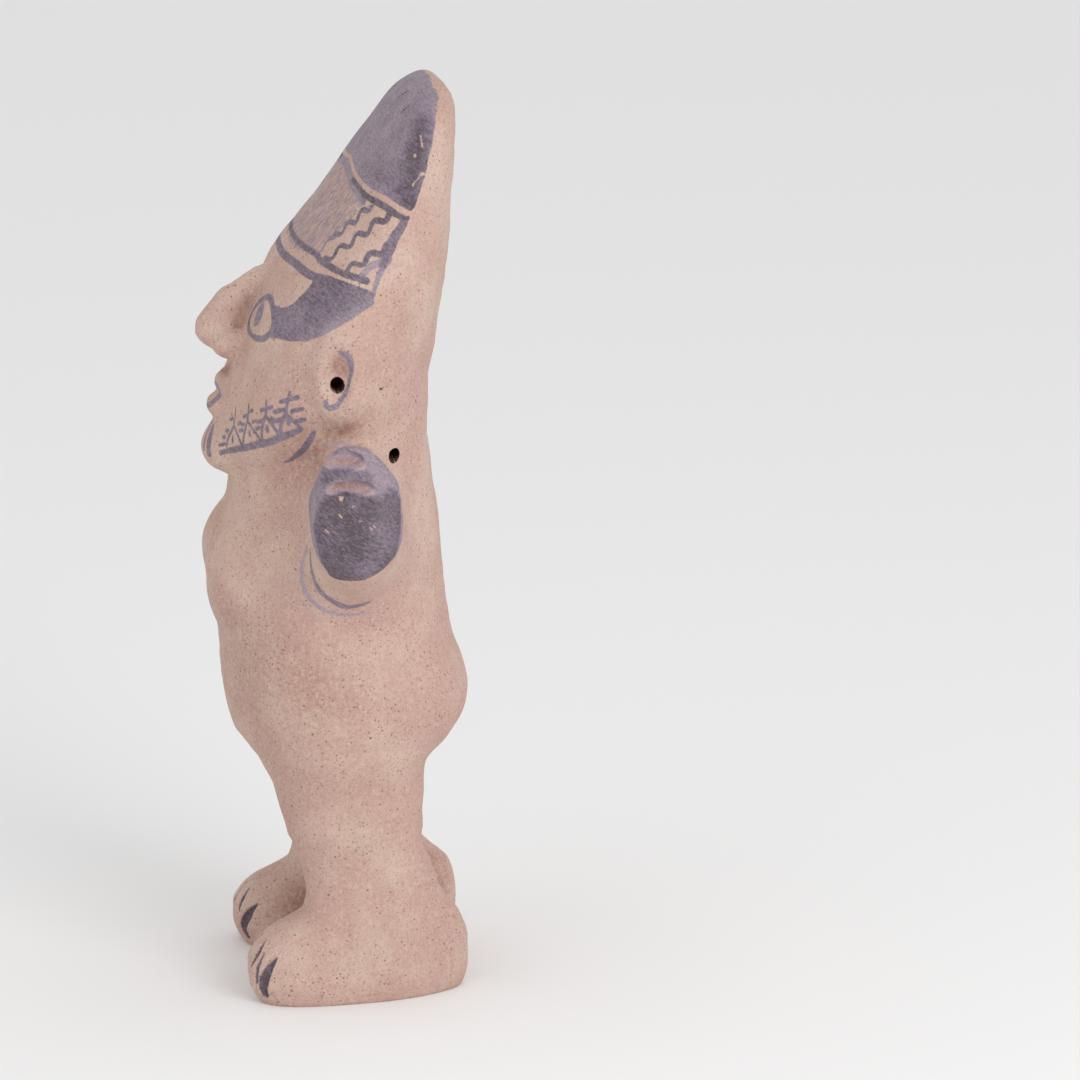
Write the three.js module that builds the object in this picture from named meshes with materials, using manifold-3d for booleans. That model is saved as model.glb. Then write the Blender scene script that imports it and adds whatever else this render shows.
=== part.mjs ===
// A standing figure of fired clay with a pointed headdress.
// Units are millimetres and +Z is up. The origin is on the ground, in the middle of the
// figure's footprint. The figure faces -Y, and its left side is +X.

import * as THREE from 'three';
import { mergeVertices } from 'three/addons/utils/BufferGeometryUtils.js';
import Module from 'manifold-3d';

// Driving sizes
const FIGURE_HEIGHT = 331.3;
const FIGURE_DEPTH = 100;
const HEAD_WIDTH = 120;
const BODY_WIDTH = 112;
const ARM_SPAN = 176;
const LEG_SPACING = 61;
const FOOT_WIDTH = 38;
const HIP_BLEND = 13;
const JAW_BLEND = 3.5;
const SHOULDER_BLEND = 12;
const HAND_WIDTH = 32;
const HAND_HEIGHT = 50;
const EAR_BOWL_DEPTH = 4.5;
const EAR_BOWL_WIDTH = 12.4;
const EAR_BOWL_HEIGHT = 26;
const EAR_HOLE_DIAMETER = 5.8;
const VENT_HOLE_DIAMETER = 4.6;
const HOLE_DEPTH = 14;
const HAND_BAR_DEPTH = 2.8;
const HAND_BAR_LENGTH = 16.4;
const HAND_BAR_HEIGHT = 5.6;
const TOE_COUNT = 5;
const TOE_WIDTH = 7.7;
const TOE_TURN_OUT = 5.4;
const TOE_GROOVE_WIDTH = 3;

// The form is given in shares of these sizes: heights in shares of which the blunt crown has
// 99.5, depths in hundredths of the depth, widths in hundredths of half the width they belong to.
const CROWN_SHARE = 99.5;
const up = (share) => share * FIGURE_HEIGHT / CROWN_SHARE;
const deep = (share) => share * FIGURE_DEPTH / 100;
const headWide = (share) => share * HEAD_WIDTH / 200;
const bodyWide = (share) => share * BODY_WIDTH / 200;
const legWide = (share) => share * FOOT_WIDTH / 200;
const legApart = (share) => share * LEG_SPACING / 200;
const armOut = (share) => share * ARM_SPAN / 200;
const handWide = (share) => share * HAND_WIDTH / 200;
const handTall = (share) => share * HAND_HEIGHT / 200;
const keep = (value) => value;

// A smooth curve through stations [place, value], without overshoot, flat past its ends
function through(stations, toPlace, toValue) {
  const places = stations.map((station) => toPlace(station[0]));
  const values = stations.map((station) => toValue(station[1]));
  const last = places.length - 1;
  const secants = places.slice(1).map((place, i) => (values[i + 1] - values[i]) / (place - places[i]));
  const slopes = places.map((_, i) => {
    if (i === 0 || i === last) return secants[Math.min(i, last - 1)];
    const [before, after] = [secants[i - 1], secants[i]];
    return before * after <= 0 ? 0 : 2 * before * after / (before + after);
  });
  return (place) => {
    if (place <= places[0]) return values[0];
    if (place >= places[last]) return values[last];
    let i = 0;
    while (place > places[i + 1]) i += 1;
    const step = places[i + 1] - places[i];
    const t = (place - places[i]) / step;
    const s = 1 - t;
    return values[i] * (1 + 2 * t) * s * s + values[i + 1] * t * t * (3 - 2 * t)
      + step * (slopes[i] * t * s * s - slopes[i + 1] * t * t * s);
  };
}

// A level outline at each height: front and back depth, half width, and how square it is
const head = {
  front: through([[55.3, -20], [56.8, -30], [58.9, -38.8], [60.9, -40.4], [63.4, -39.2], [66.1, -36.8],
    [69.1, -33.2], [72, -30.8], [75, -26.8], [79.3, -20.2], [81.1, -16], [82.6, -11.4], [85.6, -2.6],
    [90.1, 8.6], [93.1, 15.2], [96.1, 22.3], [98, 28.2], [99, 32.6], [99.5, 38]], up, deep),
  back: through([[55.3, 28], [63.4, 35.5], [68.4, 37.2], [71.4, 39], [75.5, 41], [79.5, 43.2],
    [87.5, 45.2], [91.5, 46.1], [96.6, 46], [98, 44.8], [98.9, 42.4], [99.5, 38.5]], up, deep),
  half: through([[55.3, 34], [56.4, 42], [58.5, 65], [60.7, 80], [63.1, 91], [66.1, 97], [70.4, 100],
    [76.5, 101], [81.1, 99], [85.6, 94], [90.1, 87], [93.1, 80], [96.1, 68], [97.5, 57], [98.5, 43],
    [99.2, 28], [99.5, 10]], up, headWide),
  square: through([[55.3, 2.1], [80.5, 2.1], [90.5, 2.15], [99.5, 2.2]], up, keep),
  middle: () => 0,
  foot: up(55.3),
  crown: up(CROWN_SHARE),
};

const body = {
  front: through([[19.8, -2], [21.6, -8], [24.1, -18], [25.9, -26.6], [28.6, -34.8], [31.5, -37],
    [36, -38.7], [41.2, -39.3], [45.1, -39.6], [49.3, -37.4], [53.3, -35.4], [56.3, -34.4], [60.4, -28],
    [66.4, -20]], up, deep),
  back: through([[19.8, 8], [21.6, 17], [24.1, 26], [26.7, 35], [29.2, 43.5], [32.2, 46.1],
    [36.2, 45], [39, 43.8], [42.3, 42.9], [47.3, 41.4], [52.3, 39.6], [57.3, 37.5], [62.4, 36.1],
    [66.4, 35.5]], up, deep),
  half: through([[19.8, 48], [21.6, 68], [24.1, 84], [27.2, 96], [31.2, 103], [35.2, 100],
    [40.2, 96], [46.3, 95], [52.3, 95], [57.3, 93], [61.4, 90], [66.4, 86]], up, bodyWide),
  square: through([[20.1, 2.2], [40.2, 2.3], [66.4, 2.3]], up, keep),
  middle: () => 0,
  foot: up(19.8),
  crown: up(66.4),
};

const leg = {
  front: through([[-2, -24], [0, -28.2], [1, -31], [2.4, -32.8], [4.2, -32.8], [6, -29.8], [7.2, -25.4],
    [8.5, -17.6], [9.7, -12.2], [11.6, -10.8], [15, -13], [17.6, -15.6], [20.4, -18.2], [23.1, -19.8],
    [26.2, -21]], up, deep),
  back: through([[-2, 42], [0, 46], [1, 48], [2.4, 48.9], [5.3, 48.7], [7.7, 46.6], [10, 44.4],
    [12.3, 41], [14.6, 34.6], [16.9, 30.8], [19.4, 31.8], [22.6, 31.4], [25.2, 30]], up, deep),
  half: through([[-2, 78], [0, 90], [1, 96], [2.4, 100], [5, 100], [7, 97], [9.1, 93], [11.1, 91],
    [15.1, 93], [18.1, 98], [21.6, 108], [26.2, 126]], up, legWide),
  square: through([[0, 2.8], [6, 2.6], [14.1, 2.3], [26.2, 2.2]], up, keep),
  middle: through([[0, 100], [10.1, 96], [26.2, 88]], up, legApart),
  foot: up(-2),
  crown: up(26.2),
  turn: through([[0, 0.15], [8, 0.15], [14.1, 0]], up, keep),
  heelTaper: 0.3,
};

// How far outside (or inside, if negative) its outline a point lies, as a share of the outline
function outlineShare(form, x, y, z) {
  const front = form.front(z);
  const back = form.back(z);
  const centre = (front + back) / 2;
  const halfDepth = (back - front) / 2;
  const turn = form.turn ? form.turn(z) : 0;
  const rear = THREE.MathUtils.clamp((y - centre) / halfDepth, 0, 1);
  const narrowing = form.turn ? form.heelTaper * rear * rear * turn / form.turn(0) : 0;
  const across = Math.abs(x - form.middle(z) + turn * (y - centre)) / (form.half(z) * (1 - narrowing));
  const along = Math.abs(y - centre) / halfDepth;
  const power = form.square(z);
  return (across ** power + along ** power) ** (1 / power) - 1;
}

// How fast an outline share grows, with the part along the stack held to twice the part across it
function steepness(alongStack, acrossStack) {
  const across = Math.max(acrossStack, 1e-6);
  return Math.hypot(across, Math.min(Math.abs(alongStack), 2 * across));
}

// Distance to a stack of outlines, closed by the planes at its foot and its crown
function stack(form, x, y, z) {
  const reach = 0.25;
  const inside = THREE.MathUtils.clamp(z, form.foot, form.crown);
  const share = outlineShare(form, x, y, inside);
  const slopeX = (outlineShare(form, x + reach, y, inside) - share) / reach;
  const slopeY = (outlineShare(form, x, y + reach, inside) - share) / reach;
  const above = THREE.MathUtils.clamp(inside + reach, form.foot, form.crown);
  const below = THREE.MathUtils.clamp(inside - reach, form.foot, form.crown);
  const slopeZ = (outlineShare(form, x, y, above) - outlineShare(form, x, y, below)) / (above - below);
  const side = share / steepness(slopeZ, Math.hypot(slopeX, slopeY));
  return Math.max(side, form.foot - z, z - form.crown);
}

// The arm stub: an upright oval at each distance out from the middle, closed by a blunt hand
const arm = {
  middleY: through([[30, 7.5], [62, 6.5], [97, 3.5]], armOut, deep),
  middleZ: through([[30, 51.3], [62, 53.6], [97, 57.8]], armOut, up),
  halfY: through([[30, 125], [62, 112], [80, 102], [88, 100], [94.5, 90], [98, 70], [99.5, 40], [100, 8]],
    armOut, handWide),
  halfZ: through([[30, 122], [62, 112], [80, 102], [88, 100], [94, 92], [97.5, 75], [99.4, 46], [100, 8]],
    armOut, handTall),
  root: armOut(30),
  tip: armOut(100),
};

function armShare(x, y, z) {
  const acrossY = Math.abs(y - arm.middleY(x)) / arm.halfY(x);
  const acrossZ = Math.abs(z - arm.middleZ(x)) / arm.halfZ(x);
  return (acrossY ** 2.1 + acrossZ ** 2.1) ** (1 / 2.1) - 1;
}

function armDistance(x, y, z) {
  const reach = 0.25;
  const inside = THREE.MathUtils.clamp(x, arm.root, arm.tip);
  const share = armShare(inside, y, z);
  const slopeY = (armShare(inside, y + reach, z) - share) / reach;
  const slopeZ = (armShare(inside, y, z + reach) - share) / reach;
  const outer = THREE.MathUtils.clamp(inside + reach, arm.root, arm.tip);
  const inner = THREE.MathUtils.clamp(inside - reach, arm.root, arm.tip);
  const slopeX = (armShare(outer, y, z) - armShare(inner, y, z)) / (outer - inner);
  const side = share / steepness(slopeX, Math.hypot(slopeY, slopeZ));
  return Math.max(side, arm.root - x, x - arm.tip);
}

// An ellipsoid at a place
function ball([px, py, pz], [rx, ry, rz]) {
  return (x, y, z) => {
    const far = Math.hypot((x - px) / rx, (y - py) / ry, (z - pz) / rz);
    const steep = Math.hypot((x - px) / rx ** 2, (y - py) / ry ** 2, (z - pz) / rz ** 2);
    return steep > 1e-9 ? far * (far - 1) / steep : -Math.min(rx, ry, rz);
  };
}

// A rounded cone from one ball to another
function taper([ax, ay, az], [bx, by, bz], radiusA, radiusB) {
  const [ux, uy, uz] = [bx - ax, by - ay, bz - az];
  const lengthSquared = ux * ux + uy * uy + uz * uz;
  return (x, y, z) => {
    const along = ((x - ax) * ux + (y - ay) * uy + (z - az) * uz) / lengthSquared;
    const t = THREE.MathUtils.clamp(along, 0, 1);
    return Math.hypot(x - ax - t * ux, y - ay - t * uy, z - az - t * uz) - radiusA - t * (radiusB - radiusA);
  };
}

// Clay pressed on: each lump with the width over which it runs into the rest
const at = (x, y, z) => [x, deep(y), up(z)];
const pressedOn = [
  { shape: taper(at(0, -23.4, 77.65), at(0, -33.4, 75.1), deep(4.6), deep(6.1)), blend: 4.5 },
  { shape: taper(at(0, -33.4, 75.1), at(0, -39.6, 72.5), deep(6.1), deep(7.2)), blend: 1.5 },
  { shape: taper(at(0, -36, 71.2), at(0, -29.5, 69.4), deep(4.8), deep(4.4)), blend: 2.5 },
  { shape: ball(at(headWide(14), -34, 71), [headWide(10), deep(7), up(1.5)]), blend: 4 },
  { shape: taper(at(0, -35.6, 66.5), at(headWide(13), -34.8, 66.4), deep(4.2), deep(3.4)), blend: 2.5 },
  { shape: taper(at(0, -38.2, 64), at(headWide(10), -37.2, 63.9), deep(4.4), deep(3.6)), blend: 2.5 },
  { shape: ball(at(0, -35, 59.3), [headWide(28), deep(10), up(2.6)]), blend: 5 },
  { shape: ball(at(headWide(96), 1, 70.5), [headWide(8), deep(9), up(5)]), blend: 6 },
  { shape: ball(at(bodyWide(38), -32.6, 46.4), [bodyWide(30), deep(10.6), up(4.8)]), blend: 9 },
  { shape: ball(at(0, -36.2, 42.6), [bodyWide(40), deep(6.6), up(2.3)]), blend: 6 },
  { shape: ball(at(bodyWide(46), 31, 33.8), [bodyWide(44), deep(16.8), up(5)]), blend: 12 },
];

const softMin = (a, b, blend) => Math.min(a, b) - Math.max(blend - Math.abs(a - b), 0) ** 2 / (4 * blend);

// Signed distance to the clay, the same on both sides of the figure
function clay(sideX, y, z) {
  const x = Math.abs(sideX);
  let distance = softMin(stack(body, x, y, z), stack(leg, x, y, z), HIP_BLEND);
  distance = softMin(distance, stack(head, x, y, z), JAW_BLEND);
  distance = softMin(distance, armDistance(x, y, z), SHOULDER_BLEND);
  for (const { shape, blend } of pressedOn) distance = softMin(distance, shape(x, y, z), blend);
  return distance;
}

// Grid planes from one place to another, with the spacing that a curve gives
function planes(from, to, spacing) {
  const places = [from];
  while (places.at(-1) < to) places.push(places.at(-1) + spacing(places.at(-1)));
  return places;
}

// Planes are closer together where the form turns faster, and none lies in the middle plane
const spacing = {
  x: through([[0, 4.8], [16, 5.6], [34, 7.2], [80, 7.2], [91, 4.3]], armOut, keep),
  y: through([[-54, 4.4], [-30, 5], [-10, 7.1], [40, 7.1], [60, 6]], deep, keep),
  z: through([[0, 4], [6, 5], [10, 8.6], [50, 8.6], [55, 4.8], [78, 4.8], [82, 7.8], [93, 6.8],
    [98, 3.6]], up, keep),
};
const outward = planes(spacing.x(0) / 2, armOut(107), spacing.x);
const grid = {
  x: [...outward.map((place) => -place).reverse(), ...outward],
  y: planes(-deep(54), deep(58), spacing.y),
  z: planes(-up(4), up(101.5), spacing.z),
};

// The eight corners of a grid cell, and the twelve edges between them
const corners = Array.from({ length: 8 }, (_, c) => [c & 1, (c >> 1) & 1, (c >> 2) & 1]);
const pairs = corners.flatMap((_, i) => corners.map((__, j) => [i, j]));
const edges = pairs.filter(([i, j]) => i < j && [1, 2, 4].includes(i ^ j));

// The middle of the places where the surface crosses a cell's edges, or nothing if it doesn't
function cellPoint(values, low, high) {
  const sum = new THREE.Vector3();
  let crossings = 0;
  for (const [a, b] of edges) {
    if ((values[a] < 0) === (values[b] < 0)) continue;
    const t = values[a] / (values[a] - values[b]);
    const place = corners[a].map((corner, n) => corner + t * (corners[b][n] - corner));
    sum.add(new THREE.Vector3(...place.map((share, n) => low[n] + share * (high[n] - low[n]))));
    crossings += 1;
  }
  return crossings > 0 ? sum.divideScalar(crossings) : null;
}

// A closed skin around a field: one point in each grid cell that the surface crosses
function skin(field, { x: xs, y: ys, z: zs }) {
  const [nx, ny, nz] = [xs.length, ys.length, zs.length];
  const index = (i, j, k) => i + nx * (j + ny * k);
  const values = zs.flatMap((z) => ys.flatMap((y) => xs.map((x) => field(x, y, z))));
  const pointOf = new Map();
  const points = [];
  for (let k = 0; k < nz - 1; k += 1) {
    for (let j = 0; j < ny - 1; j += 1) {
      for (let i = 0; i < nx - 1; i += 1) {
        const around = corners.map(([a, b, c]) => values[index(i + a, j + b, k + c)]);
        const point = cellPoint(around, [xs[i], ys[j], zs[k]], [xs[i + 1], ys[j + 1], zs[k + 1]]);
        if (point === null) continue;
        settle(field, point);
        pointOf.set(index(i, j, k), points.length);
        points.push(point);
      }
    }
  }
  const triangles = [];
  const quad = ([a, b, c, d], turned) => {
    const [p, q] = turned ? [b, d] : [d, b];
    const short = points[a].distanceTo(points[c]) < points[p].distanceTo(points[q]);
    triangles.push(...(short ? [a, p, c, a, c, q] : [a, p, q, p, c, q]));
  };
  // Where a grid edge runs through the surface, the four cells around it share a face
  const steps = [[1, 0, 0], [0, 1, 0], [0, 0, 1]];
  for (let k = 1; k < nz - 1; k += 1) {
    for (let j = 1; j < ny - 1; j += 1) {
      for (let i = 1; i < nx - 1; i += 1) {
        const inside = values[index(i, j, k)] < 0;
        steps.forEach(([a, b, c], n) => {
          if (inside === values[index(i + a, j + b, k + c)] < 0) return;
          const [u, v] = [steps[(n + 1) % 3], steps[(n + 2) % 3]];
          const cell = (s, t) => pointOf.get(
            index(i - s * u[0] - t * v[0], j - s * u[1] - t * v[1], k - s * u[2] - t * v[2]),
          );
          quad([cell(0, 0), cell(1, 0), cell(1, 1), cell(0, 1)], inside);
        });
      }
    }
  }
  const geometry = new THREE.BufferGeometry();
  geometry.setAttribute('position', new THREE.Float32BufferAttribute(points.flatMap((p) => p.toArray()), 3));
  geometry.setIndex(triangles);
  return geometry;
}

// Move a point onto the surface along the field's slope
function settle(field, point) {
  const [reach, gentlest, farthest] = [0.4, 0.2, 1.2];
  for (let round = 0; round < 4; round += 1) {
    const value = field(point.x, point.y, point.z);
    const slope = new THREE.Vector3(
      field(point.x + reach, point.y, point.z) - field(point.x - reach, point.y, point.z),
      field(point.x, point.y + reach, point.z) - field(point.x, point.y - reach, point.z),
      field(point.x, point.y, point.z + reach) - field(point.x, point.y, point.z - reach),
    ).divideScalar(2 * reach);
    const move = THREE.MathUtils.clamp(value / Math.max(slope.lengthSq(), gentlest), -farthest, farthest);
    point.addScaledVector(slope, -move);
  }
}

const wasm = await Module();
wasm.setup();

function toSolid(geometry) {
  const bare = geometry.clone();
  bare.deleteAttribute('normal');
  bare.deleteAttribute('uv');
  const merged = mergeVertices(bare, 1e-4);
  return new wasm.Manifold(new wasm.Mesh({
    numProp: 3,
    vertProperties: new Float32Array(merged.attributes.position.array),
    triVerts: new Uint32Array(merged.index.array),
  }));
}

function toGeometry(solid) {
  const mesh = solid.getMesh();
  const geometry = new THREE.BufferGeometry();
  geometry.setAttribute('position', new THREE.BufferAttribute(mesh.vertProperties, 3));
  geometry.setIndex(new THREE.BufferAttribute(mesh.triVerts, 1));
  return geometry;
}

// A dent pressed in from the side, as deep on its own side as it is wide and tall on the face
function dent(depth, length, height, place) {
  const geometry = new THREE.SphereGeometry(1, 10, 8);
  geometry.scale(depth, length / 2, height / 2);
  geometry.translate(...place);
  return toSolid(geometry);
}

// A round hole poked in from the side
function poke(diameter, place) {
  const geometry = new THREE.CylinderGeometry(diameter / 2, diameter / 2, HOLE_DEPTH * 2, 14);
  geometry.rotateZ(Math.PI / 2);
  geometry.translate(...place);
  return toSolid(geometry);
}

// Where the foot's toe end lies, at a distance out from the middle and a height
function toeEnd(x, z) {
  let [outside, inside] = [-FIGURE_DEPTH, 0];
  while (inside - outside > 0.01) {
    const y = (inside + outside) / 2;
    if (stack(leg, x, y, z) < 0) inside = y;
    else outside = y;
  }
  return inside;
}

// The lines between the toes: each a rod laid in the toe end, from near the ground to its top
function toeLines(side) {
  const [low, high] = [up(0.9), up(5.6)];
  return Array.from({ length: TOE_COUNT - 1 }, (_, i) => {
    const place = LEG_SPACING / 2 + TOE_TURN_OUT + (i - (TOE_COUNT - 2) / 2) * TOE_WIDTH;
    const [foot, top] = [toeEnd(place, low), toeEnd(place, high)];
    const rod = new THREE.CapsuleGeometry(TOE_GROOVE_WIDTH / 2, Math.hypot(top - foot, high - low), 2, 6);
    rod.rotateX(Math.atan2(high - low, top - foot));
    rod.translate(side * place, (foot + top) / 2, (low + high) / 2);
    return toSolid(rod);
  });
}

// The marks on one side, each at a place [out to the side, back, up]
function marks(side) {
  const put = (out, back, height) => [side * out, deep(back), up(height)];
  const bar = [HAND_BAR_DEPTH, HAND_BAR_LENGTH, HAND_BAR_HEIGHT];
  return [
    dent(EAR_BOWL_DEPTH, EAR_BOWL_WIDTH, EAR_BOWL_HEIGHT, put(headWide(106), -2, 70.3)),
    poke(EAR_HOLE_DIAMETER, put(headWide(99), -1, 69.8)),
    poke(VENT_HOLE_DIAMETER, put(bodyWide(92), 19.7, 61.5)),
    dent(...bar, put(armOut(98), -1.2, 63.1)),
    dent(...bar, put(armOut(99.2), 0.6, 60.4)),
    ...toeLines(side),
  ];
}

const ground = new THREE.BoxGeometry(ARM_SPAN, FIGURE_DEPTH * 2, up(6));
ground.translate(0, 0, -up(3));
const cuts = [toSolid(ground), ...marks(-1), ...marks(1)];
const figureSolid = cuts.reduce((solid, cut) => solid.subtract(cut), toSolid(skin(clay, grid)));

const figureGeometry = toGeometry(figureSolid);
figureGeometry.computeVertexNormals();
figureGeometry.computeBoundingBox();
const { min: front, max: back } = figureGeometry.boundingBox;
figureGeometry.translate(0, -(front.y + back.y) / 2, 0);

const firedClay = new THREE.MeshStandardMaterial({ color: 0xc4a598, roughness: 0.85, metalness: 0 });
const figure = new THREE.Mesh(figureGeometry, firedClay);
figure.name = 'figure';

const group = new THREE.Group();
group.add(figure);

export default group;
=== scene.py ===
"""A standing figure of fired clay with a pointed headdress, painted with dark slip.

The modelling is worked out in millimetres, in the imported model's own frame: the figure faces -Y,
its left side is +X and +Z is up. It becomes metres when a mesh is handed to Blender.
"""

import logging
import math
from collections.abc import Callable, Sequence
from dataclasses import dataclass
from enum import Enum

import bpy
import numpy as np
from mathutils import Matrix, Vector


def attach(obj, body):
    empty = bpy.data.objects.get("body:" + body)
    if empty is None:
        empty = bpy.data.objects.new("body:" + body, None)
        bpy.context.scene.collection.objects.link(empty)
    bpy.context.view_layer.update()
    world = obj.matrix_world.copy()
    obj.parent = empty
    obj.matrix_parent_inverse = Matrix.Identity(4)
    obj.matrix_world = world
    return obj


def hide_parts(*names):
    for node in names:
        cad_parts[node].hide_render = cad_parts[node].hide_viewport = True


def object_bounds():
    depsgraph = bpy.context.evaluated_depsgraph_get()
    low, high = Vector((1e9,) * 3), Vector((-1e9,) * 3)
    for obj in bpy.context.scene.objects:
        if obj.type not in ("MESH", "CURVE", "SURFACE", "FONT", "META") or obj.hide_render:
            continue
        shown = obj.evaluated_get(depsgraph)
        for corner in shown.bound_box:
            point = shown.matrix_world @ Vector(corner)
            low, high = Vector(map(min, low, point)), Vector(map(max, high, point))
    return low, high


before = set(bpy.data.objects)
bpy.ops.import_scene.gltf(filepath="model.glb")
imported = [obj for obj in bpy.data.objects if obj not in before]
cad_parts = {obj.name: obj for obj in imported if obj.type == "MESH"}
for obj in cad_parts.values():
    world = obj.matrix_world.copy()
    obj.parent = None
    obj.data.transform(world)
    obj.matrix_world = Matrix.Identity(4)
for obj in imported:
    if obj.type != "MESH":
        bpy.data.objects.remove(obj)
cad_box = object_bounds()

log = logging.getLogger("figure")

Points = np.ndarray
Field = Callable[[Points, Points, Points], Points]
Spot = tuple[float, float]
Line = tuple[Spot, ...]
Colour = tuple[float, float, float, float]
Socket = bpy.types.NodeSocket

MM = 0.001
FIGURE_HEIGHT = 331.3
CROWN_SHARE = 99.5
FIGURE_DEPTH = 100.0
HEAD_WIDTH = 120.0
BODY_WIDTH = 112.0
ARM_SPAN = 176.0
LEG_SPACING = 61.0
FOOT_WIDTH = 38.0
HAND_WIDTH = 32.0
HAND_HEIGHT = 50.0
BACK_SET = -1.2
DRAWN_SET = BACK_SET + 0.71
CURVE_READINGS = 2400


def shares_of(size: float, whole: float = 200.0) -> Callable[[float], float]:
    """Give a function that turns shares of a size into millimetres.

    Args:
        size: the size, in millimetres.
        whole: the share that stands for all of it. With 200, a share is a hundredth of half of it.

    Returns:
        The function.
    """

    def to_millimetres(share: float) -> float:
        """Turn a share into millimetres."""
        return share * size / whole

    return to_millimetres


up = shares_of(FIGURE_HEIGHT, CROWN_SHARE)
deep = shares_of(FIGURE_DEPTH, 100.0)
head_wide = shares_of(HEAD_WIDTH)
body_wide = shares_of(BODY_WIDTH)
leg_wide = shares_of(FOOT_WIDTH)
leg_apart = shares_of(LEG_SPACING)
arm_out = shares_of(ARM_SPAN)
hand_wide = shares_of(HAND_WIDTH)
hand_tall = shares_of(HAND_HEIGHT)


def keep(value: float) -> float:
    """Leave a value as it is."""
    return value


class Curve:
    """A smooth line through stations, without overshoot and flat past its ends."""

    def __init__(
        self,
        stations: Sequence[tuple[float, float]],
        to_place: Callable[[float], float] = up,
        to_value: Callable[[float], float] = keep,
    ) -> None:
        """Draw the line once, as a fine table to read from.

        Args:
            stations: pairs of place and value, in shares.
            to_place: turns a place's share into millimetres.
            to_value: turns a value's share into millimetres.
        """
        places = np.array([to_place(s[0]) for s in stations])
        values = np.array([to_value(s[1]) for s in stations])
        steps = np.diff(places)
        secants = np.diff(values) / steps
        before, after = secants[:-1], secants[1:]
        total = np.where(before * after > 0, before + after, 1)
        inner = np.where(before * after > 0, 2 * before * after / total, 0)
        slopes = np.concatenate([secants[:1], inner, secants[-1:]])
        self.places = np.linspace(places[0], places[-1], CURVE_READINGS)
        i = np.clip(np.searchsorted(places, self.places, side="right") - 1, 0, len(steps) - 1)
        t = (self.places - places[i]) / steps[i]
        s = 1 - t
        self.values = (
            values[i] * (1 + 2 * t) * s * s
            + values[i + 1] * t * t * (3 - 2 * t)
            + steps[i] * (slopes[i] * t * s * s - slopes[i + 1] * t * t * s)
        )

    def __call__(self, place: Points) -> Points:
        """Read the line at some places."""
        return np.interp(place, self.places, self.values)


def steepness(along: Points, across: Points) -> Points:
    """Give how fast an outline share grows, its part along the stack held to twice that across."""
    across = np.maximum(across, 1e-6)
    return np.hypot(across, np.minimum(np.abs(along), 2 * across))


@dataclass(frozen=True)
class Stack:
    """A form given by a level outline at each height: its depths, half width and squareness."""

    front: Curve
    back: Curve
    half: Curve
    square: Curve
    foot: float
    crown: float
    middle: Curve | None = None
    turn: Curve | None = None
    heel_taper: float = 0.0
    reach: float = 0.25

    def outline(self, z: Points) -> tuple[Points, ...]:
        """Read every measure of the outline.

        Args:
            z: the heights to read it at.

        Returns:
            The centre's depth, half depth, half width, squareness, middle and turn.
        """
        front, back = self.front(z), self.back(z)
        middle = self.middle(z) if self.middle else np.zeros_like(z)
        turn = self.turn(z) if self.turn else np.zeros_like(z)
        return (front + back) / 2, (back - front) / 2, self.half(z), self.square(z), middle, turn

    def share(self, x: Points, y: Points, outline: tuple[Points, ...]) -> Points:
        """Give how far outside the outline points lie, as a share of it.

        Args:
            x: places to the side.
            y: places to the back.
            outline: the outline's measures at the points' heights.

        Returns:
            The shares, negative inside.
        """
        centre, half_depth, half, power, middle, turn = outline
        width = half
        if self.turn:
            rear = np.clip((y - centre) / half_depth, 0, 1)
            width = half * (1 - self.heel_taper * rear * rear * turn / self.turn.values[0])
        across = np.abs(x - middle + turn * (y - centre)) / width
        along = np.abs(y - centre) / half_depth
        return (across**power + along**power) ** (1 / power) - 1

    def distance(self, x: Points, y: Points, z: Points) -> Points:
        """Give the signed distance to the form, closed by planes at its foot and crown.

        Args:
            x: places to the side.
            y: places to the back.
            z: heights.

        Returns:
            The distances in millimetres, negative inside.
        """
        inside = np.clip(z, self.foot, self.crown)
        above = np.clip(inside + self.reach, self.foot, self.crown)
        below = np.clip(inside - self.reach, self.foot, self.crown)
        outline = self.outline(inside)
        share = self.share(x, y, outline)
        slope_x = (self.share(x + self.reach, y, outline) - share) / self.reach
        slope_y = (self.share(x, y + self.reach, outline) - share) / self.reach
        higher, lower = self.share(x, y, self.outline(above)), self.share(x, y, self.outline(below))
        slope_z = (higher - lower) / (above - below)
        side = share / steepness(slope_z, np.hypot(slope_x, slope_y))
        return np.maximum(side, np.maximum(self.foot - z, z - self.crown))


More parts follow.
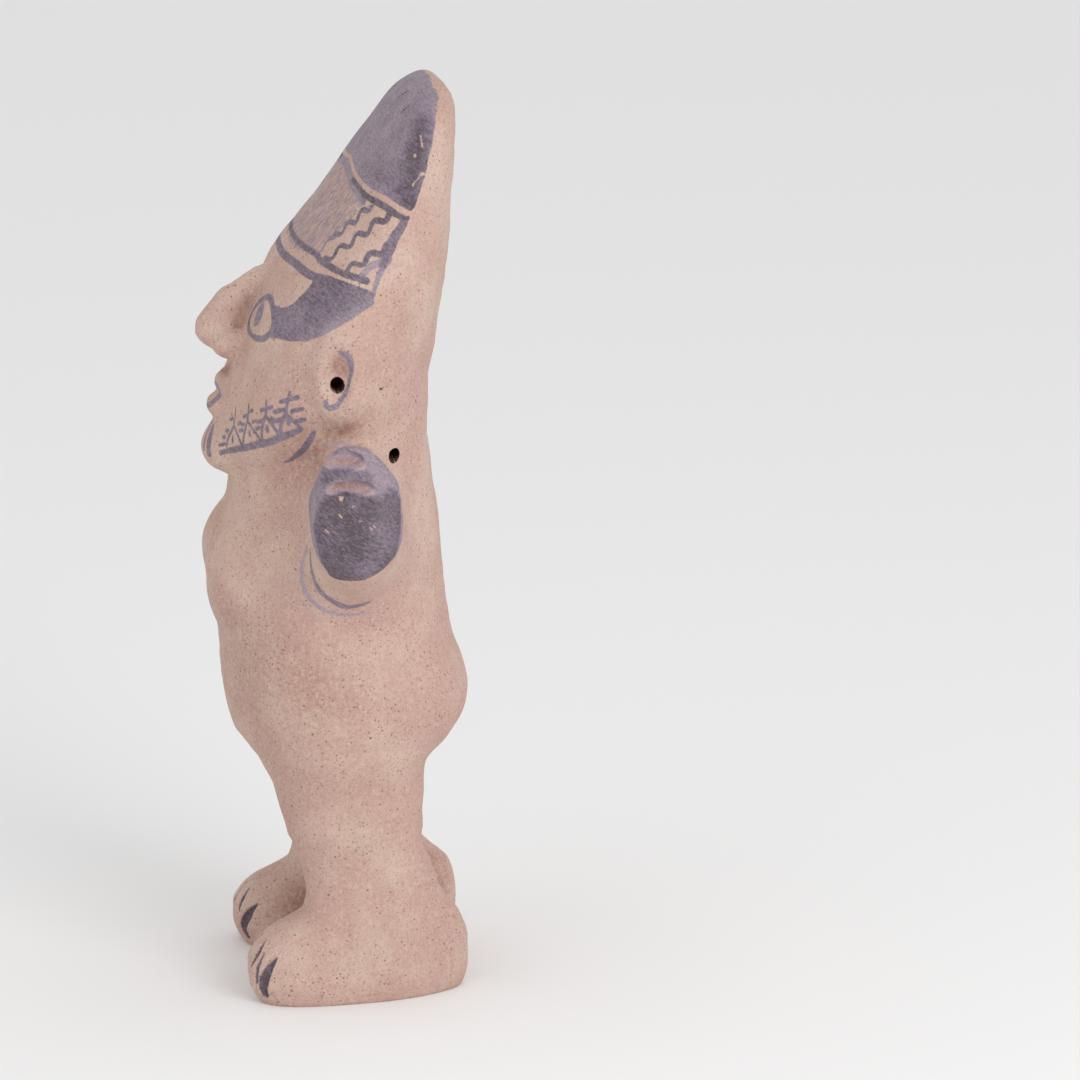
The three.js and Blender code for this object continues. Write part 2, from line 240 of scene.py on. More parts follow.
@dataclass(frozen=True)
class ArmStub:
    """A short arm: an upright oval at each distance out, closed by a blunt hand."""

    middle_y: Curve = Curve([(30, 7.5), (62, 6.5), (97, 3.5)], arm_out, deep)
    middle_z: Curve = Curve([(30, 51.3), (62, 53.6), (97, 57.8)], arm_out, up)
    half_y: Curve = Curve(
        [(30, 125), (62, 112), (80, 102), (88, 100), (94.5, 90), (98, 70), (99.5, 40), (100, 8)],
        arm_out,
        hand_wide,
    )
    half_z: Curve = Curve(
        [(30, 122), (62, 112), (80, 102), (88, 100), (94, 92), (97.5, 75), (99.4, 46), (100, 8)],
        arm_out,
        hand_tall,
    )
    root: float = arm_out(30)
    tip: float = arm_out(100)
    square: float = 2.1
    reach: float = 0.25

    def share(self, x: Points, y: Points, z: Points) -> Points:
        """Give how far outside the oval points lie, as a share of it.

        Args:
            x: places to the side.
            y: places to the back.
            z: heights.

        Returns:
            The shares, negative inside.
        """
        across_y = np.abs(y - self.middle_y(x)) / self.half_y(x)
        across_z = np.abs(z - self.middle_z(x)) / self.half_z(x)
        return (across_y**self.square + across_z**self.square) ** (1 / self.square) - 1

    def distance(self, x: Points, y: Points, z: Points) -> Points:
        """Give the signed distance to the arm.

        Args:
            x: places to the side.
            y: places to the back.
            z: heights.

        Returns:
            The distances in millimetres, negative inside.
        """
        inside = np.clip(x, self.root, self.tip)
        share = self.share(inside, y, z)
        slope_y = (self.share(inside, y + self.reach, z) - share) / self.reach
        slope_z = (self.share(inside, y, z + self.reach) - share) / self.reach
        outer = np.clip(inside + self.reach, self.root, self.tip)
        inner = np.clip(inside - self.reach, self.root, self.tip)
        slope_x = (self.share(outer, y, z) - self.share(inner, y, z)) / (outer - inner)
        side = share / steepness(slope_x, np.hypot(slope_y, slope_z))
        return np.maximum(side, np.maximum(self.root - x, x - self.tip))


def at(x: float, y: float, z: float) -> tuple[float, float, float]:
    """Give a place, its depth and height in shares."""
    return x, deep(y), up(z)


@dataclass(frozen=True)
class Ball:
    """An ellipsoid of clay pressed on, and the width over which it runs into the rest."""

    place: tuple[float, float, float]
    radii: tuple[float, float, float]
    blend: float

    def distance(self, x: Points, y: Points, z: Points) -> Points:
        """Give the signed distance to the ball.

        Args:
            x: places to the side.
            y: places to the back.
            z: heights.

        Returns:
            The distances in millimetres, negative inside.
        """
        (px, py, pz), (rx, ry, rz) = self.place, self.radii
        far = np.sqrt(((x - px) / rx) ** 2 + ((y - py) / ry) ** 2 + ((z - pz) / rz) ** 2)
        steep = np.sqrt(((x - px) / rx**2) ** 2 + ((y - py) / ry**2) ** 2 + ((z - pz) / rz**2) ** 2)
        return np.where(steep > 1e-9, far * (far - 1) / np.maximum(steep, 1e-9), -min(self.radii))


@dataclass(frozen=True)
class Roll:
    """A rounded cone of clay pressed on, from one end to the other."""

    start: tuple[float, float, float]
    end: tuple[float, float, float]
    radii: tuple[float, float]
    blend: float

    def distance(self, x: Points, y: Points, z: Points) -> Points:
        """Give the signed distance to the roll.

        Args:
            x: places to the side.
            y: places to the back.
            z: heights.

        Returns:
            The distances in millimetres, negative inside.
        """
        (ax, ay, az), (bx, by, bz) = self.start, self.end
        ux, uy, uz = bx - ax, by - ay, bz - az
        t = ((x - ax) * ux + (y - ay) * uy + (z - az) * uz) / (ux * ux + uy * uy + uz * uz)
        t = np.clip(t, 0, 1)
        far = np.sqrt((x - ax - t * ux) ** 2 + (y - ay - t * uy) ** 2 + (z - az - t * uz) ** 2)
        return far - self.radii[0] - t * (self.radii[1] - self.radii[0])


def soft_min(a: Points, b: Points, blend: float) -> Points:
    """Join two distances, with a fillet as wide as the blend."""
    return np.minimum(a, b) - np.maximum(blend - np.abs(a - b), 0) ** 2 / (4 * blend)


HEAD = Stack(
    front=Curve(
        [(55.3, -20), (56.8, -30), (58.9, -38.8), (60.9, -40.4), (63.4, -39.2), (66.1, -36.8)]
        + [(69.1, -33.2), (72, -30.8), (75, -26.8), (79.3, -20.2), (81.1, -16), (82.6, -11.4)]
        + [(85.6, -2.6), (90.1, 8.6), (93.1, 15.2), (96.1, 22.3), (98, 28.2), (99, 32.6)]
        + [(99.5, 38)],
        to_value=deep,
    ),
    back=Curve(
        [(55.3, 28), (63.4, 35.5), (68.4, 37.2), (71.4, 39), (75.5, 41), (79.5, 43.2), (87.5, 45.2)]
        + [(91.5, 46.1), (96.6, 46), (98, 44.8), (98.9, 42.4), (99.5, 38.5)],
        to_value=deep,
    ),
    half=Curve(
        [(55.3, 34), (56.4, 42), (58.5, 65), (60.7, 80), (63.1, 91), (66.1, 97), (70.4, 100)]
        + [(76.5, 101), (81.1, 99), (85.6, 94), (90.1, 87), (93.1, 80), (96.1, 68), (97.5, 57)]
        + [(98.5, 43), (99.2, 28), (99.5, 10)],
        to_value=head_wide,
    ),
    square=Curve([(55.3, 2.1), (80.5, 2.1), (90.5, 2.15), (99.5, 2.2)]),
    foot=up(55.3),
    crown=up(CROWN_SHARE),
)

BODY = Stack(
    front=Curve(
        [(19.8, -2), (21.6, -8), (24.1, -18), (25.9, -26.6), (28.6, -34.8), (31.5, -37), (36, -38.7)]
        + [(41.2, -39.3), (45.1, -39.6), (49.3, -37.4), (53.3, -35.4), (56.3, -34.4), (60.4, -28)]
        + [(66.4, -20)],
        to_value=deep,
    ),
    back=Curve(
        [(19.8, 8), (21.6, 17), (24.1, 26), (26.7, 35), (29.2, 43.5), (32.2, 46.1), (36.2, 45)]
        + [(39, 43.8), (42.3, 42.9), (47.3, 41.4), (52.3, 39.6), (57.3, 37.5), (62.4, 36.1), (66.4, 35.5)],
        to_value=deep,
    ),
    half=Curve(
        [(19.8, 48), (21.6, 68), (24.1, 84), (27.2, 96), (31.2, 103), (35.2, 100), (40.2, 96)]
        + [(46.3, 95), (52.3, 95), (57.3, 93), (61.4, 90), (66.4, 86)],
        to_value=body_wide,
    ),
    square=Curve([(20.1, 2.2), (40.2, 2.3), (66.4, 2.3)]),
    foot=up(19.8),
    crown=up(66.4),
)

LEG = Stack(
    front=Curve(
        [(-2, -24), (0, -28.2), (1, -31), (2.4, -32.8), (4.2, -32.8), (6, -29.8), (7.2, -25.4)]
        + [(8.5, -17.6), (9.7, -12.2), (11.6, -10.8), (15, -13), (17.6, -15.6), (20.4, -18.2)]
        + [(23.1, -19.8), (26.2, -21)],
        to_value=deep,
    ),
    back=Curve(
        [(-2, 42), (0, 46), (1, 48), (2.4, 48.9), (5.3, 48.7), (7.7, 46.6), (10, 44.4)]
        + [(12.3, 41), (14.6, 34.6), (16.9, 30.8), (19.4, 31.8), (22.6, 31.4), (25.2, 30)],
        to_value=deep,
    ),
    half=Curve(
        [(-2, 78), (0, 90), (1, 96), (2.4, 100), (5, 100), (7, 97), (9.1, 93), (11.1, 91)]
        + [(15.1, 93), (18.1, 98), (21.6, 108), (26.2, 126)],
        to_value=leg_wide,
    ),
    square=Curve([(0, 2.8), (6, 2.6), (14.1, 2.3), (26.2, 2.2)]),
    middle=Curve([(0, 100), (10.1, 96), (26.2, 88)], to_value=leg_apart),
    turn=Curve([(0, 0.15), (8, 0.15), (14.1, 0)]),
    heel_taper=0.3,
    foot=up(-2),
    crown=up(26.2),
)


@dataclass(frozen=True)
class Clay:
    """The whole modelled form as a signed distance, the same on both sides."""

    hip_blend: float = 13.0
    jaw_blend: float = 3.5
    shoulder_blend: float = 12.0
    ear_bowl_blend: float = 2.0
    arm: ArmStub = ArmStub()
    bridge: Roll = Roll(at(0, -23.4, 77.65), at(0, -33.4, 75.1), (deep(4.6), deep(6.1)), 4.5)
    nose_tip: Roll = Roll(at(0, -33.4, 75.1), at(0, -39.6, 72.5), (deep(6.1), deep(7.2)), 1.5)
    nose_base: Roll = Roll(at(0, -36, 71.2), at(0, -29.5, 69.4), (deep(4.8), deep(4.4)), 2.5)
    nostril: Ball = Ball(at(head_wide(14), -34, 71), (head_wide(10), deep(7), up(1.5)), 4)
    upper_lip: Roll = Roll(
        at(0, -35.6, 66.5), at(head_wide(13), -34.8, 66.4), (deep(4.2), deep(3.4)), 2.5
    )
    lower_lip: Roll = Roll(
        at(0, -38.2, 64), at(head_wide(10), -37.2, 63.9), (deep(4.4), deep(3.6)), 2.5
    )
    chin: Ball = Ball(at(0, -35, 59.3), (head_wide(28), deep(10), up(2.6)), 5)
    ear: Ball = Ball(at(head_wide(96), 1, 70.5), (head_wide(8), deep(9), up(5)), 6)
    breast: Ball = Ball(at(body_wide(38), -32.6, 46.4), (body_wide(30), deep(10.6), up(4.8)), 9)
    fold: Ball = Ball(at(0, -36.2, 42.6), (body_wide(40), deep(6.6), up(2.3)), 6)
    buttock: Ball = Ball(at(body_wide(46), 31, 33.8), (body_wide(44), deep(16.8), up(5)), 12)
    ear_bowl: Ball = Ball(at(head_wide(106), -1.2, 70.2), (head_wide(8), deep(5.4), up(3.9)), 0)

    def distance(self, side_x: Points, frame_y: Points, z: Points) -> Points:
        """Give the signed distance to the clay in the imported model's frame.

        Args:
            side_x: places to the side.
            frame_y: places to the back.
            z: heights.

        Returns:
            The distances in millimetres, negative inside.
        """
        x, y = np.abs(side_x), frame_y - BACK_SET
        total = soft_min(BODY.distance(x, y, z), LEG.distance(x, y, z), self.hip_blend)
        total = soft_min(total, HEAD.distance(x, y, z), self.jaw_blend)
        total = soft_min(total, self.arm.distance(x, y, z), self.shoulder_blend)
        for lump in (
            self.bridge, self.nose_tip, self.nose_base, self.nostril, self.upper_lip,
            self.lower_lip, self.chin, self.ear, self.breast, self.fold, self.buttock,
        ):
            total = soft_min(total, lump.distance(x, y, z), lump.blend)
        return -soft_min(-total, self.ear_bowl.distance(x, y, z), self.ear_bowl_blend)


CLAY = Clay()


def slope_of(shape: Field, points: Points, reach: float = 0.4) -> tuple[Points, Points]:
    """Read a field and its slope at some points.

    Args:
        shape: the field.
        points: an array of points, one a row.
        reach: how far the slope is measured over, in millimetres.

    Returns:
        The values and the slopes, one a row.
    """
    x, y, z = points.T
    value = shape(x, y, z)
    slope = np.stack(
        [
            shape(x + reach, y, z) - shape(x - reach, y, z),
            shape(x, y + reach, z) - shape(x, y - reach, z),
            shape(x, y, z + reach) - shape(x, y, z - reach),
        ],
        axis=1,
    )
    return value, slope / (2 * reach)


def settle(shape: Field, points: Points, rounds: int = 3) -> Points:
    """Move points onto a field's surface along its slope.

    Args:
        shape: the field.
        points: the points, one a row.
        rounds: how many moves they make.

    Returns:
        The moved points.
    """
    gentlest, farthest = 0.2, 1.2
    for _ in range(rounds):
        value, slope = slope_of(shape, points)
        steep = np.maximum((slope**2).sum(axis=1), gentlest)
        move = np.clip(value / steep, -farthest, farthest)
        points = points - slope * move[:, None]
    return points


@dataclass
class Skin:
    """A closed mesh kept as plain arrays: its points, and the corners of its faces in order."""

    points: Points
    corners: Points
    starts: Points

    def sizes(self) -> Points:
        """Count each face's corners."""
        return np.diff(np.append(self.starts, len(self.corners)))

    def triangles(self) -> int:
        """Count the triangles that the faces make."""
        return int((self.sizes() - 2).sum())

    def face_of_corner(self) -> Points:
        """Give the face that each corner belongs to."""
        return np.repeat(np.arange(len(self.starts)), self.sizes())

    def next_corner(self) -> Points:
        """Give each corner's next corner round its face."""
        following = np.arange(1, len(self.corners) + 1)
        following[self.starts + self.sizes() - 1] = self.starts
        return following

    def face_centres(self) -> Points:
        """Give the middle of each face."""
        total = np.add.reduceat(self.points[self.corners], self.starts, axis=0)
        return total / self.sizes()[:, None]

    def divide(self, chosen: Points, shape: Field) -> "Skin":
        """Split chosen four-sided faces in four, and give their neighbours the new points too.

        Args:
            chosen: a mask over the faces.
            shape: the field that the new points are laid on.

        Returns:
            The finer skin.
        """
        count = len(self.points)
        sizes = self.sizes()
        chosen = chosen & (sizes == 4)
        after = self.corners[self.next_corner()]
        low, high = np.minimum(self.corners, after), np.maximum(self.corners, after)
        pairs, edge = np.unique(low.astype(np.int64) * count + high, return_inverse=True)
        face = self.face_of_corner()
        split = np.zeros(len(pairs), bool)
        split[edge[chosen[face]]] = True
        rank = np.cumsum(split) - 1
        ends = np.stack([pairs[split] // count, pairs[split] % count], axis=1)
        middles = self.points[ends].mean(axis=1)
        centres = self.face_centres()[chosen]
        added = settle(shape, np.concatenate([middles, centres]), 2)
        points = np.concatenate([self.points, added])
        middle_of = count + rank[edge]
        corner = self.corners[self.starts[chosen][:, None] + np.arange(4)]
        side = middle_of[self.starts[chosen][:, None] + np.arange(4)]
        centre = count + len(middles) + np.arange(len(centres))
        quads = np.concatenate(
            [np.stack([corner[:, n], side[:, n], centre, side[:, n - 1]], axis=1) for n in range(4)]
        )
        rest = ~chosen[face]
        width = 1 + split[edge[rest]]
        place = np.cumsum(width) - width
        corners = np.empty(width.sum(), np.int64)
        corners[place] = self.corners[rest]
        corners[place[width == 2] + 1] = middle_of[rest][width == 2]
        grown = np.bincount(face[rest], weights=width, minlength=len(sizes))[~chosen].astype(int)
        starts = np.cumsum(grown) - grown
        return Skin(
            points,
            np.concatenate([corners, quads.ravel()]),
            np.concatenate([starts, len(corners) + 4 * np.arange(len(quads))]),
        )


def even_planes(low: float, high: float, step: float) -> Points:
    """Lay planes at an even spacing from one place to past another."""
    return low + step * np.arange(math.ceil((high - low) / step) + 1)


def first_skin(shape: Field, step: float = 2.4) -> Skin:
    """Wrap a field with one point in each grid cell that its surface crosses.

    Args:
        shape: a field that is the same on both sides of the middle plane.
        step: the grid's spacing in millimetres.

    Returns:
        The skin, all of four-sided faces.
    """
    half = even_planes(step / 2, ARM_SPAN / 2 + 2 * step, step)
    xs = np.concatenate([-half[::-1], half])
    deepest, lowest, highest = FIGURE_DEPTH * 0.52, -up(2), up(101.5)
    ys = even_planes(-deepest, deepest, step)
    zs = even_planes(lowest, highest, step)
    right = shape(half[None, None, :], ys[None, :, None], zs[:, None, None])
    values = np.concatenate([right[:, :, ::-1], right], axis=2)
    values = np.maximum(values, (0.0 - zs)[:, None, None])
    inside = values < 0
    grid = np.stack(np.meshgrid(zs, ys, xs, indexing="ij"), axis=-1)
    cells = tuple(n - 1 for n in values.shape)
    total, crossings = np.zeros((*cells, 3)), np.zeros(cells)
    crossed = []
    for axis in range(3):
        here = tuple(slice(0, -1) if n == axis else slice(None) for n in range(3))
        there = tuple(slice(1, None) if n == axis else slice(None) for n in range(3))
        cross = inside[here] != inside[there]
        gap = np.where(cross, values[here] - values[there], 1)
        share = np.where(cross, values[here] / gap, 0)
        place = np.where(cross[..., None], grid[here] + share[..., None] * (grid[there] - grid[here]), 0)
        crossed.append((cross, inside[here]))
        others = [n for n in range(3) if n != axis]
        for a in (0, 1):
            for b in (0, 1):
                part = [slice(None)] * 3
                part[others[0]] = slice(a, a + cells[others[0]])
                part[others[1]] = slice(b, b + cells[others[1]])
                total += place[tuple(part)]
                crossings += cross[tuple(part)]
    active = crossings > 0
    number = np.where(active, np.cumsum(active).reshape(cells) - 1, -1)
    points = (total[active] / crossings[active][:, None])[:, ::-1]
    faces = []
    for axis, (cross, starts_inside) in enumerate(crossed):
        one, two = [(axis + 1) % 3, (axis + 2) % 3]
        ring = []
        for a, b in ((0, 0), (1, 0), (1, 1), (0, 1)):
            part = [slice(None)] * 3
            part[one] = slice(1 - a, cells[one] - a)
            part[two] = slice(1 - b, cells[two] - b)
            ring.append(number[tuple(part)])
        inner = [slice(None)] * 3
        inner[one], inner[two] = slice(1, cells[one]), slice(1, cells[two])
        cross, starts_inside = cross[tuple(inner)], starts_inside[tuple(inner)]
        quad = np.stack([r[cross] for r in ring], axis=1)
        outward = starts_inside[cross]
        quad[outward] = quad[outward][:, ::-1]
        faces.append(quad)
    faces = np.concatenate(faces)
    return Skin(points, faces.ravel(), 4 * np.arange(len(faces)))


def direction_of(azimuth: float) -> tuple[Points, Points]:
    """Give the outward and the rightward direction of a drawing made from one side.

    Args:
        azimuth: degrees round from the front towards the figure's left.

    Returns:
        The direction towards the maker, and the one that runs across the drawing.
    """
    a = math.radians(azimuth)
    return np.array([math.sin(a), -math.cos(a), 0.0]), np.array([math.cos(a), math.sin(a), 0.0])


LAY_REACH = np.linspace(100, -44, 97)
LAY_HALVINGS = 10


class View(Enum):
    """The side that a mark is drawn from, in degrees round from the front."""

    FRONT = 0
    CHEEK = 45
    TEMPLE = 60
    SIDE = 90

    def flat(self, points: Points) -> Points:
        """Give points' places in the drawing: across, and up."""
        across = direction_of(self.value)[1]
        return np.stack([points @ across - DRAWN_SET * across[1], points[:, 2]], axis=1)

    def lay(self, drawing: Points) -> Points:
        """Carry a drawing's points straight in until they meet the clay.

        Args:
            drawing: rows of places across and up, in millimetres.

        Returns:
            The points on the clay, one a row.
        """
        outward, across = direction_of(self.value)
        base = drawing[:, :1] * across + np.array([0.0, 0.0, 1.0]) * drawing[:, 1:]
        base[:, 1] += DRAWN_SET
        tried = base[:, None, :] + LAY_REACH[None, :, None] * outward
        value = CLAY.distance(tried[..., 0], tried[..., 1], tried[..., 2])
        met = (value < 0).any(axis=1)
        first = np.where(met, np.argmax(value < 0, axis=1), np.argmin(value, axis=1))
        near, far = LAY_REACH[first], LAY_REACH[np.maximum(first - 1, 0)]
        for _ in range(LAY_HALVINGS):
            half = (near + far) / 2
            place = base + half[:, None] * outward
            inside = CLAY.distance(*place.T) < 0
            near, far = np.where(inside, half, near), np.where(inside, far, half)
        return base + np.where(met, near, LAY_REACH[first])[:, None] * outward


def smooth_line(corners: Points, closed: bool, parts: int = 6) -> Points:
    """Draw a smooth line through some corners.

    Args:
        corners: the corners, one a row.
        closed: whether the line's end joins its start.
        parts: how many pieces each stretch between corners gets.

    Returns:
        The line's own corners, one a row.
    """
    before, after = 2 * corners[:1] - corners[1:2], 2 * corners[-1:] - corners[-2:-1]
    if closed:
        before, after = corners[-1:], corners[:2]
    padded = np.concatenate([before, corners, after])
    a, b, c, d = padded[:-3, None], padded[1:-2, None], padded[2:-1, None], padded[3:, None]
    t = (np.arange(parts) / parts)[None, :, None]
    curve = b + 0.5 * t * (c - a + t * (2 * a - 5 * b + 4 * c - d + t * (3 * (b - c) + d - a)))
    line = curve.reshape(-1, corners.shape[1])
    return line if closed else np.concatenate([line, corners[-1:]])


def measure_line(points: Points, line: Points, closed: bool) -> tuple[Points, Points]:
    """Measure points against a line of corners.

    Args:
        points: the points, one a row.
        line: the line's corners, one a row.
        closed: whether the line's end joins its start.

    Returns:
        Each point's distance, and how far along the line its nearest place lies, from 0 to 1.
    """
    ends = np.roll(line, -1, axis=0) if closed else line[1:]
    starts = line if closed else line[:-1]
    way = ends - starts
    length = np.linalg.norm(way, axis=1)
    before = np.cumsum(length) - length
    best = np.full(len(points), 1e9)
    place = np.zeros(len(points))
    for start, step, size, passed in zip(starts, way, length, before):
        t = np.clip((points - start) @ step / max(size * size, 1e-12), 0, 1)
        away = np.linalg.norm(points - start - t[:, None] * step, axis=1)
        closer = away < best
        best[closer] = away[closer]
        place[closer] = (passed + t * size)[closer]
    return best, place / max(length.sum(), 1e-9)


MARGIN = 3.0
# The value that paints the inside of holes and cuts near-black, as painted shade.
IN_HOLE = 2.0


def near_line(points: Points, line: Points, reach: float | Points) -> Points:
    """Tell which points lie in a line's box, widened by a reach."""
    return ((points > line.min(axis=0) - reach) & (points < line.max(axis=0) + reach)).all(axis=1)


def flip(vectors: Points, chosen: Points) -> Points:
    """Turn chosen points or directions over to the figure's other side."""
    turned = vectors.copy()
    turned[chosen, 0] *= -1
    return turned


class Side(Enum):
    """The side of the figure that a mark is on."""

    BOTH = 0
    LEFT = 1
    RIGHT = -1

    def holds(self, left: Points) -> Points:
        """Tell which points lie on this side, from those on the left."""
        return {Side.BOTH: left | ~left, Side.LEFT: left, Side.RIGHT: ~left}[self]


@dataclass(frozen=True)
class Stroke:
    """One drag of the brush over the clay: its line in a drawing, its widths along it, its tone.

    A tone of 0 is pale slip and 1 is dark, and below 0 the slip is thin.
    """

    view: View
    line: Line
    widths: tuple[float, ...] = (1.5,)
    tone: float = 0.75
    bare: bool = False
    closed: bool = False
    fine: bool = True
    soft: float = 0.6
    wash: float = 0.0

    def laid(self) -> Points:
        """Give the stroke's line on the clay."""
        corners = np.array(self.line, float)
        return self.view.lay(smooth_line(corners, self.closed))

    def widest(self) -> float:
        """Give half the greatest width."""
        return max(self.widths) / 2

    def half_width(self, share: Points) -> Points:
        """Give half the width at shares of the way along."""
        widths = self.widths * 2 if len(self.widths) == 1 else self.widths
        return np.interp(share, np.linspace(0, 1, len(widths)), widths) / 2

    def near(self, points: Points) -> Points:
        """Tell which points lie in the stroke's reach."""
        return near_line(points, self.laid(), MARGIN + self.soft / 2 + self.widest())

    def measure(self, points: Points, _normals: Points) -> Points:
        """Give how far inside the stroke points lie, negative outside."""
        away, share = measure_line(points, self.laid(), self.closed)
        return self.half_width(share) - away


@dataclass(frozen=True)
class Patch:
    """An area filled with the brush, or left bare in one."""

    view: View
    line: Line
    tone: float = 0.8
    bare: bool = False
    closed: bool = True
    fine: bool = False
    smooth: bool = True
    soft: float = 0.6
    wash: float = 0.0
    facing: float = -0.1
    bulge: tuple[float, float, float] = (12, 6, 0)

    def flat(self) -> Points:
        """Give the outline in its drawing."""
        corners = np.array(self.line, float)
        return smooth_line(corners, self.closed) if self.smooth else corners

    def laid(self) -> Points:
        """Give the outline on the clay."""
        return self.view.lay(self.flat())

    def widest(self) -> float:
        """Give half the width of the outline itself, which has none."""
        return 0.0

    def near(self, points: Points) -> Points:
        """Tell which points lie in the patch's reach, also where the clay bulges from its outline."""
        return near_line(points, self.laid(), MARGIN + self.soft / 2 + np.array(self.bulge))

    def measure(self, points: Points, normals: Points) -> Points:
        """Measure points against the patch.

        Args:
            points: the points, one a row.
            normals: their outward directions.

        Returns:
            How far inside the patch the points lie, negative outside.
        """
        away, _ = measure_line(points, self.laid(), self.closed)
        flat, outline = self.view.flat(points), self.flat()
        inside = np.zeros(len(points), bool)
        for (ax, az), (bx, bz) in zip(outline, np.roll(outline, -1, axis=0)):
            if az == bz:
                continue
            crosses = (az > flat[:, 1]) != (bz > flat[:, 1])
            inside ^= crosses & (flat[:, 0] < ax + (flat[:, 1] - az) / (bz - az) * (bx - ax))
        inside &= normals @ direction_of(self.view.value)[0] > self.facing
        return np.where(inside, away, -away)


@dataclass(frozen=True)
class Cuff:
    """The painted end of the arm, whose edge runs unevenly round the stub."""

    edge: Curve = Curve(
        [(-180, 68), (-150, 73), (-126, 82), (-107, 82.5), (-92, 72), (-83, 68), (-70, 64), (-57, 59)]
        + [(-36, 58), (0, 64.5), (39, 71), (60, 79), (75, 84), (100, 84.5), (122, 80), (148, 71)]
        + [(180, 68)],
        keep,
    )
    start: float = arm_out(55)
    looseness: float = 0.12
    tone: float = 0.4
    bare: bool = False
    soft: float = 0.6
    wash: float = 0.0

    def near(self, points: Points) -> Points:
        """Tell which points lie in the cuff's reach, which may be any."""
        return np.ones(len(points), bool)

    def measure(self, points: Points, _normals: Points) -> Points:
        """Measure points against the painted end.

        Args:
            points: the points, one a row.

        Returns:
            How far inside the painted end the points lie, negative outside.
        """
        arm, x = CLAY.arm, points[:, 0]
        off_y = arm.middle_y(x) + BACK_SET - points[:, 1]
        off_z = arm.middle_z(x) - points[:, 2]
        angle = np.degrees(np.arctan2(off_z, off_y))
        near = arm.share(x, points[:, 1] - BACK_SET, points[:, 2]) < self.looseness
        return np.where(near & (x > self.start), x - self.edge(angle), -MARGIN)


Mark = Stroke | Patch | Cuff


def ellipse(centre: Spot, half: Spot, lean: float = 0.0, count: int = 12) -> Line:
    """Give the corners of an ellipse in a drawing.

    Args:
        centre: its middle, across and up.
        half: half its width and half its height.
        lean: degrees that it is turned by.
        count: how many corners it gets.

    Returns:
        The corners, in order.
    """
    c, s = math.cos(math.radians(lean)), math.sin(math.radians(lean))
    corners = []
    for n in range(count):
        a = math.tau * n / count
        u, v = half[0] * math.cos(a), half[1] * math.sin(a)
        corners.append((centre[0] + c * u - s * v, centre[1] + s * u + c * v))
    return tuple(corners)


def ripple(start: Spot, end: Spot, waves: float, swing: float, phase: float, per_wave: int = 8) -> Line:
    """Give the corners of a wavy line in a drawing.

    Args:
        start: its first end, across and up.
        end: its other end.
        waves: how many waves it makes.
        swing: how far it swings to each side, in millimetres.
        phase: the share of a wave at which it starts.
        per_wave: how many corners a wave gets.

    Returns:
        The corners, in order.
    """
    (ax, az), (bx, bz) = start, end
    length = math.hypot(bx - ax, bz - az)
    count = round(waves * per_wave)
    corners = []
    for n in range(count + 1):
        t = n / count
        off = swing * math.sin(math.tau * (waves * t + phase)) / length
        corners.append((ax + t * (bx - ax) - off * (bz - az), az + t * (bz - az) + off * (bx - ax)))
    return tuple(corners)


@dataclass(frozen=True)
class Pit:
    """A round or oval hollow pressed or poked straight in from the side.

    A steepness of 1 makes a bowl and more makes a hole. Points as close to the edge as the rim go
    onto it. The wall is how far in front of or behind its middle the hollow touches the clay.
    """

    place: Spot
    half: Spot
    depth: float
    steep: float = 1.0
    rim: float = 0.0
    side: Side = Side.BOTH
    # Whether the inside is painted near-black, as painted shade.
    dark: bool = True
    wall: float = 14.0

    def middle(self) -> Points:
        """Give the hollow's middle on the clay."""
        return View.SIDE.lay(np.array([self.place]))[0]

    def share(self, off: Points, wider: float = 0.0) -> Points:
        """Give how far out places off the middle lie, 1 at the edge or at a wider one."""
        return np.hypot(off[:, 0] / (self.half[0] + wider), off[:, 1] / (self.half[1] + wider))

    def near(self, points: Points, reach: float) -> Points:
        """Tell which points lie inside the hollow or near it.

        Args:
            points: the points, all brought to the left side.
            reach: how far from the edge still counts, in millimetres.

        Returns:
            A mask over the points.
        """
        middle = self.middle()
        close = np.abs(points[:, 0] - middle[0]) < self.wall
        return (self.share(points[:, 1:] - middle[1:], reach) < 1) & close

    def press(self, sided: Points, moved: Points) -> Points:
        """Press the hollow into moved points.

        Args:
            sided: the points before anything moved them, all brought to the left side.
            moved: the points to press, brought to the left side.

        Returns:
            The pressed points.
        """
        middle, small = self.middle(), min(self.half)
        off = sided[:, 1:] - middle[1:]
        share, close = self.share(off), np.abs(sided[:, 0] - middle[0]) < self.wall
        moved = moved.copy()
        if self.rim:
            ring = close & (np.abs(share - 1) * small < self.rim)
            moved[ring, 1:] += off[ring] * (1 / share[ring] - 1)[:, None]
        inside = close & (share * small < small - self.rim)
        moved[inside, 0] -= self.depth * (1 - share[inside] ** (2 * self.steep)) ** (1 / self.steep)
        return moved


@dataclass(frozen=True)
class Stain:
    """A soft-edged place where the clay is browner or, with a negative strength, paler."""

    place: tuple[float, float, float]
    radii: tuple[float, float, float]
    strength: float

    def lay(self, points: Points) -> Points:
        """Give the stain's strength at some points."""
        off = (points - np.array(self.place)) / np.array(self.radii)
        return self.strength * np.exp(-(off**2).sum(axis=1))


